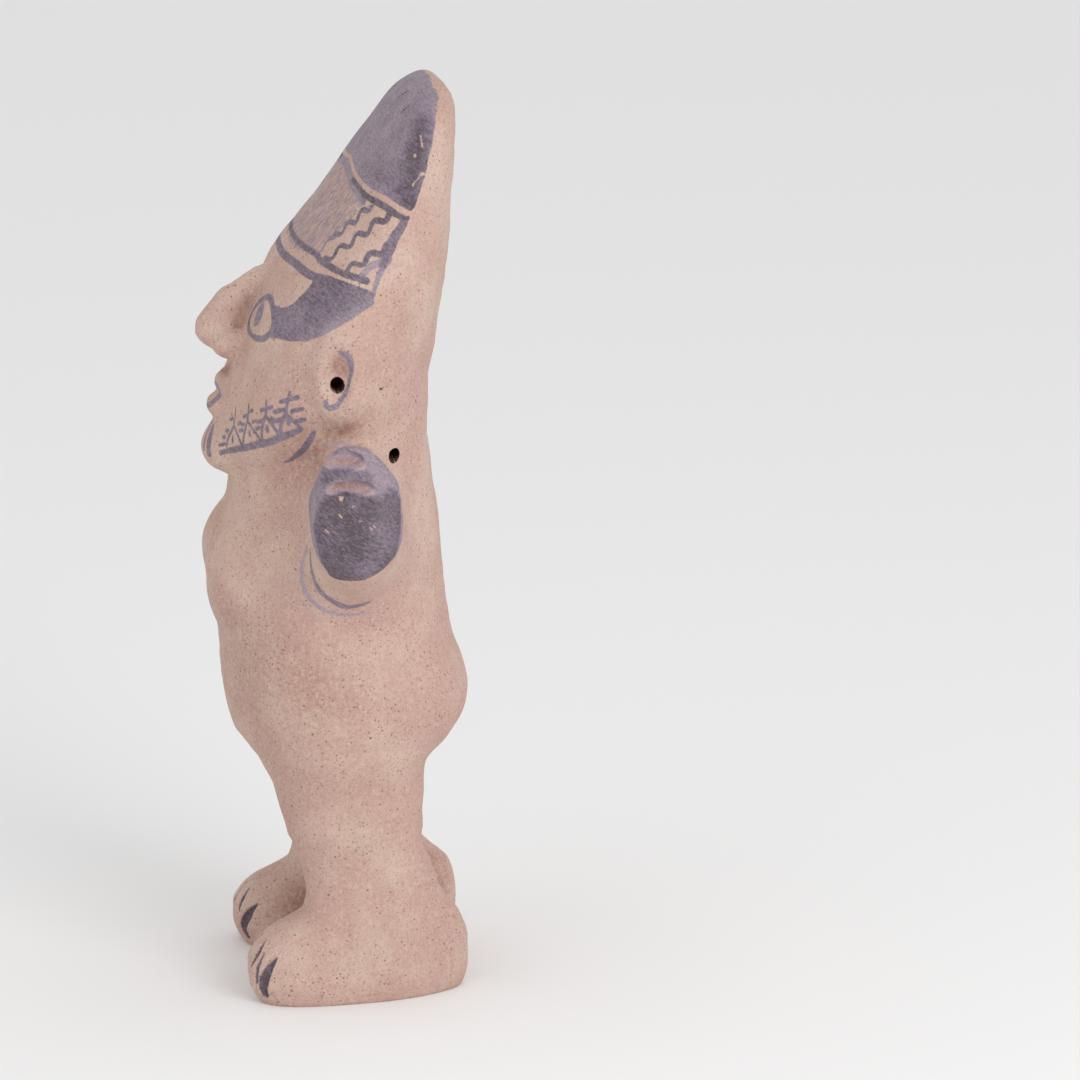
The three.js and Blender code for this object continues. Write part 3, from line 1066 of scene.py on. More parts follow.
@dataclass(frozen=True)
class Groove:
    """A line pressed into the clay on one side of the figure, shallower where it is narrow."""

    stroke: Stroke
    depth: float
    side: Side
    spread: float = 1.15
    full_half: float = 1.2
    shallowest: float = 0.3
    reach: float = 3.0

    def press(self, sided: Points, turned: Points, moved: Points, left: Points) -> None:
        """Press the line into moved points.

        Args:
            sided: the points before anything moved them, all brought to the left side.
            turned: their outward directions, brought to the left side.
            moved: the points to press, brought to the left side.
            left: which of them belong on the left side.
        """
        line = self.stroke.laid()
        near = self.side.holds(left) & near_line(sided, line, self.reach)
        away, share = measure_line(sided[near], line, self.stroke.closed)
        half = self.stroke.half_width(share) * self.spread
        sunk = self.depth * np.clip(1 - (away / half) ** 2, 0, 1)
        sunk *= np.clip(half / self.full_half, self.shallowest, 1)
        moved[near] -= turned[near] * sunk[:, None]


@dataclass(frozen=True)
class Headdress:
    """The painted headdress: a solid cap, a banded panel of wavy lines and the bands below it."""

    view: View = View.TEMPLE
    washed: Line = (
        (-16, 274), (2, 303), (17, 299.5), (25, 298), (29.5, 295.5), (28, 291.5), (25.5, 289.5),
        (24.5, 286.5), (21, 284.5), (18, 281), (15, 278), (11, 275),
    )
    brow: Line = ((-6, 297), (2, 301), (17, 297.6), (25, 295.6), (29.5, 293.8))
    low_band: Line = (
        (-13, 275), (10.2, 275), (16.2, 273.6), (22.3, 272.5), (27.6, 271.3), (32, 270.5), (37.5, 269.3),
    )
    lowest_band: Line = ((-15, 270), (0.8, 270), (6.9, 269.5), (11.4, 268.8), (17, 268.2))
    faded_band: Line = ((42.8, 275.5), (42.4, 273.8), (41, 269.5), (39.8, 263.9))
    rear_band: Line = ((47.8, 291), (47, 287.7), (45.1, 284.1), (44.4, 280.7), (43.2, 277.4), (42.6, 275))
    top_band: Line = (
        (17, 298.4), (23.7, 297.5), (28.6, 296), (34.1, 295.3), (39.9, 294), (44.1, 292.1), (47.9, 290.9),
    )
    seam: Line = (
        (2, 303.2), (7, 302.2), (17.2, 300), (24.5, 298.7), (33.2, 297.3), (39.7, 296.4), (45.4, 293.7),
        (48.2, 292.2),
    )
    cap_rear: Line = (
        (48.3, 291.9), (50.4, 296.6), (51.2, 300.8), (52.0, 304.3), (51.6, 310.1), (51.9, 313.6),
        (51.0, 319.0), (49.4, 323.4), (46.6, 327.2), (43.0, 329.5), (39.2, 330.6), (35.0, 331.2),
    )
    cap_front: Line = ((30.4, 331.8), (20, 336), (12, 330), (0, 310))
    cap_shade: Line = ((47.5, 296), (48.4, 304), (48.4, 313), (46, 321))
    low_gap: Line = (
        (-16, 272.6), (-5, 272.7), (4.7, 272.2), (10.9, 271.4), (17.5, 270.7), (24, 269.7), (29.9, 268.7),
        (35.2, 267.5), (38.5, 266.5),
    )

    def panel(self) -> list[Mark]:
        """Wash the panel, wave its sides and frame it with bands."""
        v = self.view
        return [
            Patch(v, self.washed, 0.42, wash=1.0),
            Stroke(v, self.brow, (4.0, 4.0, 3.5, 2.5), 0.4),
            Stroke(v, ripple((33.5, 293.5), (19, 281.5), 2.6, 1.05, 0.1), (2.2, 2.2), 0.66),
            Stroke(v, ripple((19.5, 282.3), (12.5, 274.8), 1.3, 0.8, 0.2), (1.7, 1.0), 0.45),
            Stroke(v, ripple((42.5, 292), (18.5, 274), 3.7, 1.25, 0.95), (2.5, 2.1, 1.9), 0.72),
            Stroke(v, ripple((43.5, 281), (29.5, 272.3), 2.2, 1.1, 0.9), (2.9, 2.2, 1.7), 0.72),
            Stroke(v, ripple((43.5, 277), (36, 272), 1.1, 0.6, 0.1), (3.4, 2.2), 0.28),
            Stroke(v, self.low_band, (2.0, 2.4, 2.6), 0.75),
            Stroke(v, self.lowest_band, (2.8, 3.0, 3.2), 0.7),
            Stroke(v, self.faded_band, (2.8, 2.2, 1.9, 1.5), 0.4),
            Stroke(v, self.rear_band, (2.6, 3.2, 3.7, 3.4, 2.8), 0.68, soft=1.2),
            Stroke(v, self.top_band, (1.8, 2.3, 2.5, 2.6), 0.85),
        ]

    def cap(self) -> list[Mark]:
        """Fill the cap, darker by its rear edge, and leave a bare line under it."""
        v = self.view
        return [
            Patch(v, self.seam[1:] + self.cap_rear + self.cap_front, 0.43, smooth=False),
            Stroke(v, ((28, 303), (36, 301.5), (44, 300)), (4.0, 7.0), 0.62, fine=False, soft=9.0),
            Stroke(v, self.cap_shade, (7.0, 8.0, 5.0), 1.0, fine=False, soft=8.0),
            Stroke(v, self.seam, (1.3, 1.5, 2.1), bare=True),
        ]

    def marks(self) -> list[Mark]:
        """List the brush marks in the order in which they are laid."""
        return [*self.panel(), *self.cap(), Stroke(self.view, self.low_gap, (1.5, 1.6, 1.7), bare=True)]

    def chips(self) -> list[Mark]:
        """List the small chips and scratches through the slip, on the left side only."""
        side = View.SIDE
        return [
            Patch(side, ellipse((27.6, 311.3), (0.55, 0.6)), bare=True, fine=True),
            Patch(side, ellipse((30.4, 305.3), (1.0, 0.5), 10), bare=True, fine=True),
            Stroke(side, ((30.2, 317.5), (30.4, 314.2)), (0.4, 0.7), bare=True),
            Stroke(side, ((26.4, 301.6), (29, 304.6)), (0.5, 0.5), bare=True),
        ]

    def slits(self) -> list[Groove]:
        """List the two cuts near the top, on the left side only."""
        cuts = (
            (((6.0, 324.9), (7.6, 326.3), (9.2, 327.8)), (0.5, 1.0, 0.5), 0.6),
            (((21.4, 321.9), (22.7, 323.2), (23.8, 324.6)), (0.6, 1.1, 0.6), 0.7),
        )
        return [Groove(Stroke(View.FRONT, line, w, bare=True), depth, Side.LEFT) for line, w, depth in cuts]


@dataclass(frozen=True)
class Sprig:
    """One forked sprig on the cheek: a stem, two legs down to the line, bars that cross them, a pip.

    A bar is its place across, its height and its length.
    """

    top: Spot
    fork: Spot
    feet: tuple[Spot, Spot]
    bars: tuple[tuple[float, float, float], ...]
    pip: Spot
    weight: float = 1.0
    tone: float = 0.62
    bow: float = 0.5
    slant: float = 0.34

    def marks(self) -> list[Mark]:
        """List the sprig's brush marks."""
        view, marks = View.CHEEK, []
        for foot, bow in zip(self.feet, (-self.bow, self.bow)):
            knee = ((self.fork[0] + foot[0]) / 2 + bow, (self.fork[1] + foot[1]) / 2)
            widths = (1.2 * self.weight, 1.4 * self.weight)
            marks.append(Stroke(view, (self.fork, knee, foot), widths, self.tone))
        marks.append(Stroke(view, (self.top, self.fork), (1.0 * self.weight, 1.4 * self.weight), self.tone))
        for across, high, length in self.bars:
            half, rise = length / 2, self.slant * length / 2
            line = ((across - half, high - rise), (across + half, high + rise))
            marks.append(Stroke(view, line, (1.4 * self.weight,), self.tone))
        across, high = self.pip
        marks.append(Stroke(view, ((across, high + 0.9), (across, high - 0.7)), (1.2, 1.8), 0.6))
        return marks


@dataclass(frozen=True)
class Face:
    """The painted face: eyes with a dark patch to the temple, mouth, chin and cheeks."""

    eye: Spot = (24.0, 249.6)
    eye_half: Spot = (12.2, 7.1)
    eye_narrowing: float = 0.3
    eye_lean: float = 0.05
    pupil_off: Spot = (-3.1, 0.2)
    pupil_half: Spot = (3.7, 4.2)
    temple: Line = (
        (17, 269.5), (16.3, 267), (14.6, 264), (11.4, 260.6), (8, 257.8), (4, 255.9), (-2, 255),
        (-4.5, 250), (-2.4, 245.2), (3.9, 245.6), (9.1, 245.6), (14.4, 246.6), (18.6, 248), (23.6, 251),
        (29.6, 255.4), (35, 259.8), (40.5, 263.6), (38.6, 266), (35.2, 267.2), (29.9, 268.6), (24, 269.6),
    )
    temple_edge: Line = ((16, 247.5), (24, 251.5), (32, 257), (39, 262))
    outer_chin: Line = ((6.4, 206.1), (8.5, 202.6), (9.5, 200.9), (10.8, 197.2))
    cheek_line: Line = (
        (-16.5, 198.6), (-15, 199.1), (-5.7, 202.2), (1.1, 204.3), (7.5, 206.5), (14.1, 208.6),
        (19.7, 211.1), (24.0, 213.1), (27.8, 214.8),
    )
    jaw: Line = ((-9.2, 214.6), (-10, 213), (-11.3, 210.1), (-13.5, 206.4), (-16.5, 202.8), (-19.1, 200.9))
    sprigs: tuple[Sprig, ...] = (
        Sprig(
            (-6.4, 217.5), (-6.6, 211), ((-12.1, 201.8), (-0.9, 204)),
            ((-9.2, 212.6, 2.2), (-11.6, 208, 2), (-13.7, 205, 1.8), (-15, 202, 4.2), (-2.4, 212.6, 1.8)),
            (-7.3, 205.6),
        ),
        Sprig(
            (3.4, 220.5), (3.6, 214.8), ((-0.4, 205.6), (10.7, 208.6)),
            ((1.5, 215.9, 1.8), (0.3, 212.8, 1.8), (-1.2, 210.2, 2), (5, 218.5, 1.8), (7.7, 215.2, 2.2)),
            (4.4, 210.3),
        ),
        Sprig(
            (13.4, 223.8), (13.9, 218.6), ((11.4, 209.2), (19.8, 212.2)),
            ((13.8, 220.9, 5.6), (11.2, 216, 3.4), (9.9, 213.3, 1.4), (16.8, 217.6, 2.2)),
            (14.7, 213.9), 1.1,
        ),
        Sprig(
            (24, 228.2), (22.9, 220.5), ((20.4, 212.8), (28.7, 215.6)),
            ((24.1, 225.6, 7.4), (20.3, 221.2, 4.6), (27.6, 222.3, 4.2), (19.6, 217.6, 5))
            + ((28.6, 218.6, 3.8),),
            (24, 217.7), 1.25,
        ),
    )

    def eye_line(self) -> Line:
        """Give the corners of the eye, narrower towards its top."""
        corners = []
        for across, high in ellipse((0, 0), (1, 1)):
            narrowed = across * (1 - self.eye_narrowing * high) + self.eye_lean * max(high, 0)
            corners.append((self.eye[0] + self.eye_half[0] * narrowed, self.eye[1] + self.eye_half[1] * high))
        return tuple(corners)

    def temple_marks(self) -> list[Mark]:
        """Fill the dark patch from the eye to the temple, paler by the eye and at its lower edge."""
        v = View.TEMPLE
        return [
            Patch(v, self.temple, 0.7),
            Stroke(v, ((-1, 250), (6, 251), (12, 253)), (9.0, 8.0), 0.5, fine=False, soft=9.0),
            Stroke(v, self.temple_edge, (2.5, 3.5, 3.5), 0.4, soft=5.0),
        ]

    def front_marks(self) -> list[Mark]:
        """Clear and ring the eye, set its pupil, ring the mouth and draw two lines on the chin."""
        v, ring, lips = View.FRONT, (3.6, 3.0, 2.5, 2.5, 2.2, 2.0, 2.6, 3.6), (4.0, 1.4, 3.2, 1.0, 4.0)
        pupil = (self.eye[0] + self.pupil_off[0], self.eye[1] + self.pupil_off[1])
        return [
            Patch(v, self.eye_line(), bare=True),
            Stroke(v, self.eye_line(), ring, 0.58, closed=True),
            Patch(v, ellipse(pupil, self.pupil_half, 6), 0.5, fine=True),
            Stroke(v, ellipse((0, 216.7), (6.2, 4.1)), lips, 0.45, closed=True),
            Stroke(v, ((1.7, 206.2), (4.2, 201.8), (6.2, 197.7)), (1.6, 2.0, 1.6), 0.5),
            Stroke(v, self.outer_chin, (2.2, 3.6, 3.2), 0.62),
        ]

    def marks(self) -> list[Mark]:
        """List the brush marks in the order in which they are laid."""
        marks = self.temple_marks() + self.front_marks()
        marks.append(Stroke(View.CHEEK, self.cheek_line, (1.9, 2.6, 3.0, 3.0, 2.4), 0.6))
        marks.append(Stroke(View.SIDE, self.jaw, (1.6, 2.7, 2.5, 1.6, 0.8), 0.66))
        for sprig in self.sprigs:
            marks += sprig.marks()
        return marks


@dataclass(frozen=True)
class Ear:
    """A low bowl with a hole poked at its front and a painted crescent behind."""

    # Its inside is painted near-black, as painted shade.
    hole: Pit = Pit((-1.3, 232.0), (2.5, 2.9), 13, 5, 0.16)
    crescent: Line = (
        (0, 244.2), (2.3, 243.1), (3.3, 240.8), (3.4, 238), (3, 235.4), (2.5, 232.6), (1.5, 229.7),
        (0.1, 227.2), (-1.5, 225), (-3.6, 224), (-5.2, 224.8), (-5.7, 226.4),
    )

    def marks(self) -> list[Mark]:
        """List the ear's brush marks."""
        return [Stroke(View.SIDE, self.crescent, (2.2, 2.4, 1.7, 1.6, 1.8, 2.3, 1.9), 0.46)]


@dataclass(frozen=True)
class Hand:
    """The blunt hand: a painted end with two hollows, a dark patch, and two arcs on the body below."""

    outer_arc: Line = (
        (-12.4, 173), (-13.8, 165.7), (-13.5, 158.9), (-11, 153.2), (-6.5, 149.6), (-1.1, 147.6),
        (5.6, 147.4), (10, 148),
    )
    inner_arc: Line = (
        (-11.6, 173), (-11.1, 165.9), (-9, 159.5), (-5.4, 154.9), (-0.9, 151.9), (3.1, 150.9),
        (9.2, 152.4),
    )
    palm: Line = (
        (-9.6, 196.4), (-6, 199.6), (0, 200), (6, 198.6), (11, 197.4), (14, 200.5), (17, 199),
        (20.5, 190), (19, 178), (13, 170.5), (6, 166.5), (-3, 166.5), (-7.5, 168.5), (-10.6, 175),
        (-11.6, 187),
    )
    bar: Line = (
        (-8.8, 205), (-7, 207.6), (-2, 208.8), (4, 207.9), (7.6, 206.4), (7.6, 204), (3, 204), (-2, 205),
        (-8, 202.8),
    )
    upper_thin: Line = (
        (-7.4, 208.2), (-5.6, 210.6), (-2, 211.6), (2, 211.2), (5.4, 209.6), (4.8, 208), (1, 208.4),
        (-3, 208.6),
    )
    lower_thin: Line = (
        (-6.8, 201.8), (-3, 203.6), (3, 202.9), (7.4, 201.4), (8.4, 199.6), (4, 199.6), (-1, 200.4),
        (-6.6, 199.8),
    )
    hollows: tuple[Pit, Pit] = (
        Pit((-1.2, 210.9), (6.8, 3.0), 3.2, 1.8, dark=False),
        Pit((0.8, 201.4), (8.0, 2.7), 3.0, 1.8, dark=False),
    )
    chip: Line = ((-3.4, 198.6), (-1.9, 198.5), (-2.1, 197.0), (-3.2, 197.2))
    nick: Line = ((1.1, 194.9), (2.0, 195.3), (1.7, 194.3))
    scratches: tuple[tuple[Line, tuple[float, ...]], ...] = (
        (((-3.4, 192.2), (-2.4, 190.9)), (0.6,)),
        (((7.4, 187.0), (8.6, 186.2)), (0.5, 0.3)),
        (((8.6, 187.6), (9.3, 187.1)), (0.4, 0.3)),
        (((-8.2, 186.4), (-7.0, 185.4)), (0.35, 0.3)),
        (((3.4, 189.4), (4.6, 189.8)), (0.35, 0.3)),
    )

    def painted(self) -> list[Mark]:
        """Draw the arcs and paint the hand, dark in its palm and thin in its hollows."""
        v = View.SIDE
        return [
            Stroke(v, self.outer_arc, (1.6, 2.0, 2.0, 1.6, 1.0), 0.1),
            Stroke(v, self.inner_arc, (1.1, 1.5, 2.5, 3.4, 2.0), 0.5),
            Cuff(),
            Stroke(v, ((3, 205), (9, 204), (13, 199)), (9.0, 8.0, 6.0), 0.36, fine=False, soft=7.0),
            Patch(v, self.palm, 0.84, soft=2.0, facing=0.3),
            Stroke(v, ((-3, 193), (0, 186), (-1, 179)), (5.0, 7.0, 5.0), 1.0, fine=False, soft=9.0),
            Stroke(v, ((13, 184), (12, 177), (6, 171)), (6.0, 7.0, 5.0), 0.66, fine=False, soft=9.0),
            Patch(v, self.bar, 0.72, soft=2.4),
            Patch(v, self.upper_thin, -0.6, soft=1.6),
            Patch(v, self.lower_thin, -0.7, soft=1.8),
        ]

    def marks(self) -> list[Mark]:
        """List the brush marks in the order in which they are laid, then the chips and scratches."""
        marks = self.painted()
        marks.append(Patch(View.SIDE, self.chip, bare=True, fine=True, smooth=False))
        marks.append(Patch(View.SIDE, self.nick, bare=True, fine=True))
        return marks + [Stroke(View.SIDE, line, widths, bare=True) for line, widths in self.scratches]


@dataclass(frozen=True)
class Feet:
    """The heels and the lines between the toes, each foot's by hand and so unlike the other's."""

    toe_depth: float = 1.7
    left_heel: Curve = Curve(
        [(22, 0), (27, -0.7), (31, -2.6), (35.5, -4.2), (39, -4.4), (43, -3.2), (48, -0.8), (53, 0)], keep
    )
    right_heel: Curve = Curve(
        [(12, 0), (18, 0.8), (23.5, 1.9), (30, 2.6), (33.5, 1.6), (36, -0.8), (38.7, -3), (42.5, -4.4)]
        + [(47, -4.4), (53, -1.8), (60, 0)],
        keep,
    )
    heel_start: float = 5.0
    heel_full: float = 34.0

    def heel_shift(self, points: Points, left: Points) -> Points:
        """Give how far back each heel's upper part lies from the even form.

        Args:
            points: the skin's points, one a row.
            left: which of them are on the left side.

        Returns:
            The shifts towards the back, in millimetres.
        """
        t = np.clip((points[:, 1] - self.heel_start) / (self.heel_full - self.heel_start), 0, 1)
        shift = np.where(left, self.left_heel(points[:, 2]), self.right_heel(points[:, 2]))
        return shift * t * t * (3 - 2 * t)

    def grooves(self) -> list[Groove]:
        """List the lines between the toes, first those of the left foot."""
        cheek, front, left, right = View.CHEEK, View.FRONT, Side.LEFT, Side.RIGHT
        wide_left = ((17.4, 18.6), (14.8, 13.2), (13.2, 8.5), (13.4, 4.2))
        wide_right = ((21.8, 17.6), (23.8, 13.0), (26, 8.4), (25.8, 3.6))
        strokes = [
            (left, Stroke(front, ((31.5, 23), (31.5, 18), (31.6, 12)), (1.0, 2.6, 1.2))),
            (left, Stroke(cheek, ((8.7, 23.2), (8.4, 19.4), (6.6, 14.0)), (0.6, 2.4, 1.4))),
            (left, Stroke(cheek, ((11.8, 19.6), (10.7, 14.2), (10.2, 8.6)), (0.6, 1.6, 1.0))),
            (left, Stroke(cheek, wide_left, (0.8, 3.2, 4.4, 2.8), 0.9, soft=1.4)),
            (right, Stroke(front, wide_right, (0.8, 3.4, 4.2, 2.0), 0.9, soft=1.4)),
            (right, Stroke(front, ((28.6, 22.0), (28.0, 18), (27.9, 13.4)), (0.6, 1.6, 0.9))),
            (right, Stroke(front, ((34.6, 22.6), (34.4, 18), (34.4, 12)), (0.8, 2.2, 1.2))),
            (right, Stroke(cheek, ((11.8, 21.6), (10.7, 16), (10.2, 10)), (0.6, 2.2, 1.2))),
        ]
        return [Groove(stroke, self.toe_depth, side) for side, stroke in strokes]


@dataclass(frozen=True)
class Wobble:
    """The low unevenness that hands leave, as a sum of seeded waves.

    The lengths are the waves' in millimetres, and the swing is the unevenness's standard deviation.
    """

    lengths: tuple[float, ...]
    swing: float
    seed: int

    def at_points(self, points: Points) -> Points:
        """Draw the waves and add them up.

        Args:
            points: the points, one a row.

        Returns:
            The unevenness at the points, in millimetres.
        """
        draw, count = np.random.default_rng(self.seed), len(self.lengths)
        way = draw.normal(size=(count, 3))
        way /= np.linalg.norm(way, axis=1)[:, None]
        ways = way * (math.tau / np.array(self.lengths))[:, None]
        phases = draw.uniform(0, math.tau, count)
        return self.swing * math.sqrt(2 / count) * np.sin(points @ ways.T + phases).sum(axis=1)


@dataclass(frozen=True)
class Surface:
    """What hands, tools and age have done to the clay: unevenness, a poked hole, a nick and dirt, with
    painted shade in its hollows and under its parts.
    """

    broad: Wobble = Wobble((60, 52, 45, 38, 34, 30, 27, 24, 21, 18), 0.22, 4)
    small: Wobble = Wobble((15, 13, 11, 10, 9, 8, 7.5, 7, 6.5, 6), 0.07, 9)
    even_foot: float = 4.0
    # The vent and the nick are painted near-black inside, as painted shade.
    vent: Pit = Pit((19.4, 203.6), (2.2, 2.3), 13, 5, 0.16)
    nick: Pit = Pit((14.7, 229.1), (0.5, 0.5), 2, 2, side=Side.LEFT)
    # How far out each point's closeness is felt, and where, how fast and how strongly it turns into painted
    # shade in hollows.
    shelter_reaches: tuple[float, float] = (4.0, 12.0)
    shelter_start: float = 0.4
    shelter_range: float = 0.9
    most_sheltered: float = 0.45

    def uneven(self, points: Points) -> Points:
        """Give the unevenness at some points, which fades out towards the soles."""
        fade = np.clip(points[:, 2] / self.even_foot, 0, 1)
        return (self.broad.at_points(points) + self.small.at_points(points)) * fade

    def hollow_shade(self, points: Points, normals: Points) -> Points:
        """Work out the painted shade in the clay's own hollows, from how closed in each point is.

        Args:
            points: the points, one a row.
            normals: their outward directions.

        Returns:
            The painted shade's strength, 0 where the clay lies open.
        """
        total = np.zeros(len(points))
        for reach in self.shelter_reaches:
            away = CLAY.distance(*(points + normals * reach).T)
            total += np.clip(1 - away / reach, 0, 1) / len(self.shelter_reaches)
        return np.clip((total - self.shelter_start) / self.shelter_range, 0, self.most_sheltered)

    def stains(self) -> list[Stain]:
        """List soft places where the clay is browner or paler: most are painted shade, a few painted light.
        """
        return [
            # Painted shade in the crease between the nose and the eye.
            Stain((13.0, -24.0, 257.5), (8, 5, 4), 0.55),
            Stain((6.5, -28.0, 252.0), (4, 5, 5), 0.55),
            # Paler: painted light that takes back part of the painted shade beside the nose.
            Stain((9.5, -33.5, 244.0), (5, 5, 4.5), -0.5),
            # Painted shade under the ear and where the head meets the shoulder.
            Stain((56.0, -1.0, 220.0), (16, 14, 6.5), 0.36),
            Stain((50.0, 15.0, 216.0), (16, 11, 7), 0.3),
            Stain((50.0, -12.0, 120.0), (30, 28, 30), 0.4),
            Stain((18.0, -24.0, 262.0), (12, 8, 6), -0.5),
            Stain((60.0, 5.0, 25.0), (30, 25, 20), 0.25),
            Stain((40.0, 40.0, 300.0), (30, 13, 32), -0.7),
            # Painted shade beside the nose wing.
            Stain((20.0, -30.0, 238.0), (9, 5, 5), 0.22),
            # Painted shade in the hand's two hollows.
            Stain((87.0, 0.0, 210.5), (8, 8, 3), 1.0),
            Stain((87.0, 0.0, 201.8), (8, 9, 2.5), 1.0),
            # Painted shade between the jaw and the hand, and under the jaw.
            Stain((52.0, -12.0, 208.0), (14, 9, 11), 0.5),
            Stain((45.0, -22.0, 196.0), (18, 16, 7), 0.25),
            # Painted shade in the ear's bowl above the hole.
            Stain((60.0, -1.2, 238.6), (8, 3.4, 5.4), 0.75),
            # Paler: painted light on the front rim of the ear's hole.
            Stain((60.0, -5.0, 231.6), (8, 1.7, 3.6), -2.2),
            # Painted shade along the back edge of the ear.
            Stain((60.0, 9.5, 240.0), (8, 1.6, 9.0), 0.14),
            # Painted shade in the hollow under the lower lip.
            Stain((0.0, -36.0, 204.0), (22, 9, 5), 0.2),
            # Painted shade between the feet and between the legs at the back.
            Stain((11.0, -14.0, 20.0), (7, 20, 15), 0.9),
            Stain((14.0, 36.0, 30.0), (9, 14, 16), 0.6),
            # Painted shade under the nose.
            Stain((0.0, -38.0, 226.0), (20, 9, 4), 0.25),
            Stain((24.0, -40.0, 128.0), (22, 12, 28), 0.3),
        ]


@dataclass(frozen=True)
class Figure:
    """The whole figure: modelling, refinement, marks, painting and wear.

    The reaches are how near a mark or a hollow a face is divided once, twice and three times.
    """

    headdress: Headdress = Headdress()
    face: Face = Face()
    ear: Ear = Ear()
    hand: Hand = Hand()
    feet: Feet = Feet()
    surface: Surface = Surface()
    mark_reaches: tuple[float, float] = (3.2, 1.0)
    pit_reaches: tuple[float, float, float] = (4.0, 2.2, 1.0)
    mouth_wide: float = 22.0
    mouth_behind: float = -26.0
    mouth_low: float = 192.0
    mouth_high: float = 240.0
    cuff_near: float = 4.0
    cuff_start: float = 55.0
    cuff_low: float = 150.0
    hand_start: float = 82.0
    bare_tone: float = 0.5

    def brushed(self) -> list[Mark]:
        """List the brush marks of both sides in the order in which they are laid."""
        return self.headdress.marks() + self.face.marks() + self.ear.marks() + self.hand.marks()

    def grooves(self) -> list[Groove]:
        """List the lines pressed into the clay."""
        return self.feet.grooves() + self.headdress.slits()

    def pits(self) -> list[Pit]:
        """List the hollows and holes in the order in which they are pressed."""
        return [self.ear.hole, self.surface.vent, self.surface.nick, *self.hand.hollows]

    def sided_marks(self) -> list[tuple[Mark, Side]]:
        """List every mark, and the side that it is on, in the order in which they are laid."""
        marks = [(mark, Side.BOTH) for mark in self.brushed()]
        marks += [(mark, Side.LEFT) for mark in self.headdress.chips()]
        return marks + [(groove.stroke, groove.side) for groove in self.grooves()]

    def by_mouth_or_hand(self, sided: Points) -> Points:
        """Tell which points lie by the mouth, along the cuff's edge or on the hand."""
        x, y, z = sided.T
        mouth = (x < self.mouth_wide) & (y < self.mouth_behind) & (z > self.mouth_low) & (z < self.mouth_high)
        cuff = (x > self.cuff_start) & (z > self.cuff_low)
        cuff &= np.abs(Cuff().measure(sided, sided)) < self.cuff_near
        return mouth | cuff | (x > self.hand_start)

    def wanted(self, centres: Points, level: int) -> Points:
        """Tell which faces need to be finer.

        Args:
            centres: the faces' middles, one a row.
            level: how often they have been divided already.

        Returns:
            A mask over the faces.
        """
        sided = flip(centres, centres[:, 0] < 0)
        chosen = np.zeros(len(centres), bool)
        marks = self.sided_marks() if level < len(self.mark_reaches) else []
        for mark, _ in marks:
            if isinstance(mark, Cuff) or (level and not mark.fine):
                continue
            line, reach = mark.laid(), self.mark_reaches[level] + mark.widest()
            near = near_line(sided, line, reach) & ~chosen
            if near.any():
                chosen[near] = measure_line(sided[near], line, mark.closed)[0] < reach
        for pit in self.pits():
            if level < len(self.mark_reaches) or pit.rim:
                chosen |= pit.near(sided, self.pit_reaches[level])
        return chosen if level else chosen | self.by_mouth_or_hand(sided)

    def skin(self) -> Skin:
        """Wrap the clay in a skin that lies on its surface, fine where marks need it."""
        skin = first_skin(CLAY.distance)
        skin.points = settle(CLAY.distance, skin.points)
        for level in range(len(self.pit_reaches)):
            skin = skin.divide(self.wanted(skin.face_centres(), level), CLAY.distance)
            log.info("level %d: %d triangles", level + 1, skin.triangles())
        return skin

    def paint(self, points: Points, normals: Points) -> tuple[Points, Points, Points]:
        """Lay every brush mark in order.

        Args:
            points: the skin's points, one a row.
            normals: their outward directions.

        Returns:
            How far inside the slip each point lies in millimetres, how dark the slip is, and
            whether it is a thin wash.
        """
        left = points[:, 0] >= 0
        sided, turned = flip(points, ~left), flip(normals, ~left)
        depth, tone = np.full(len(points), -MARGIN), np.full(len(points), self.bare_tone)
        wash = np.zeros(len(points))
        for mark, side in self.sided_marks():
            place = np.flatnonzero(side.holds(left) & mark.near(sided))
            if not len(place):
                continue
            into = mark.measure(sided[place], turned[place])
            if mark.bare:
                depth[place] = np.minimum(depth[place], -into)
                continue
            over = np.clip(0.5 + into / mark.soft, 0, 1)
            over = np.where(depth[place] <= np.minimum(into, 0), 1, over)
            tone[place] += over * (mark.tone - tone[place])
            wash[place] += over * (mark.wash - wash[place])
            depth[place] = np.maximum(depth[place], into)
        return np.clip(depth, -MARGIN, MARGIN), tone, wash

    def soil_and_shading(self, points: Points, normals: Points) -> Points:
        """Give the points' dirt, painted shade and paler spots as one value.

        Args:
            points: the skin's points, one a row.
            normals: their outward directions.

        Returns:
            1 in a deep crease, 2 in a hole or cut, both painted shade, and negative where the clay is pale.
        """
        left = points[:, 0] >= 0
        sided = flip(points, ~left)
        # Painted shade in the clay's hollows and creases.
        soil_and_shading = self.surface.hollow_shade(points, normals)
        for stain in self.surface.stains():
            soil_and_shading += stain.lay(sided)
        soil_and_shading = np.clip(soil_and_shading, -1, 1)
        # The insides of holes and cuts are painted near-black: painted shade.
        for pit in self.pits():
            if pit.dark:
                soil_and_shading[pit.near(sided, pit.rim / 2) & pit.side.holds(left)] = IN_HOLE
        for slit in self.headdress.slits():
            away, share = measure_line(sided, slit.stroke.laid(), slit.stroke.closed)
            soil_and_shading[(away < slit.stroke.half_width(share)) & slit.side.holds(left)] = IN_HOLE
        return soil_and_shading

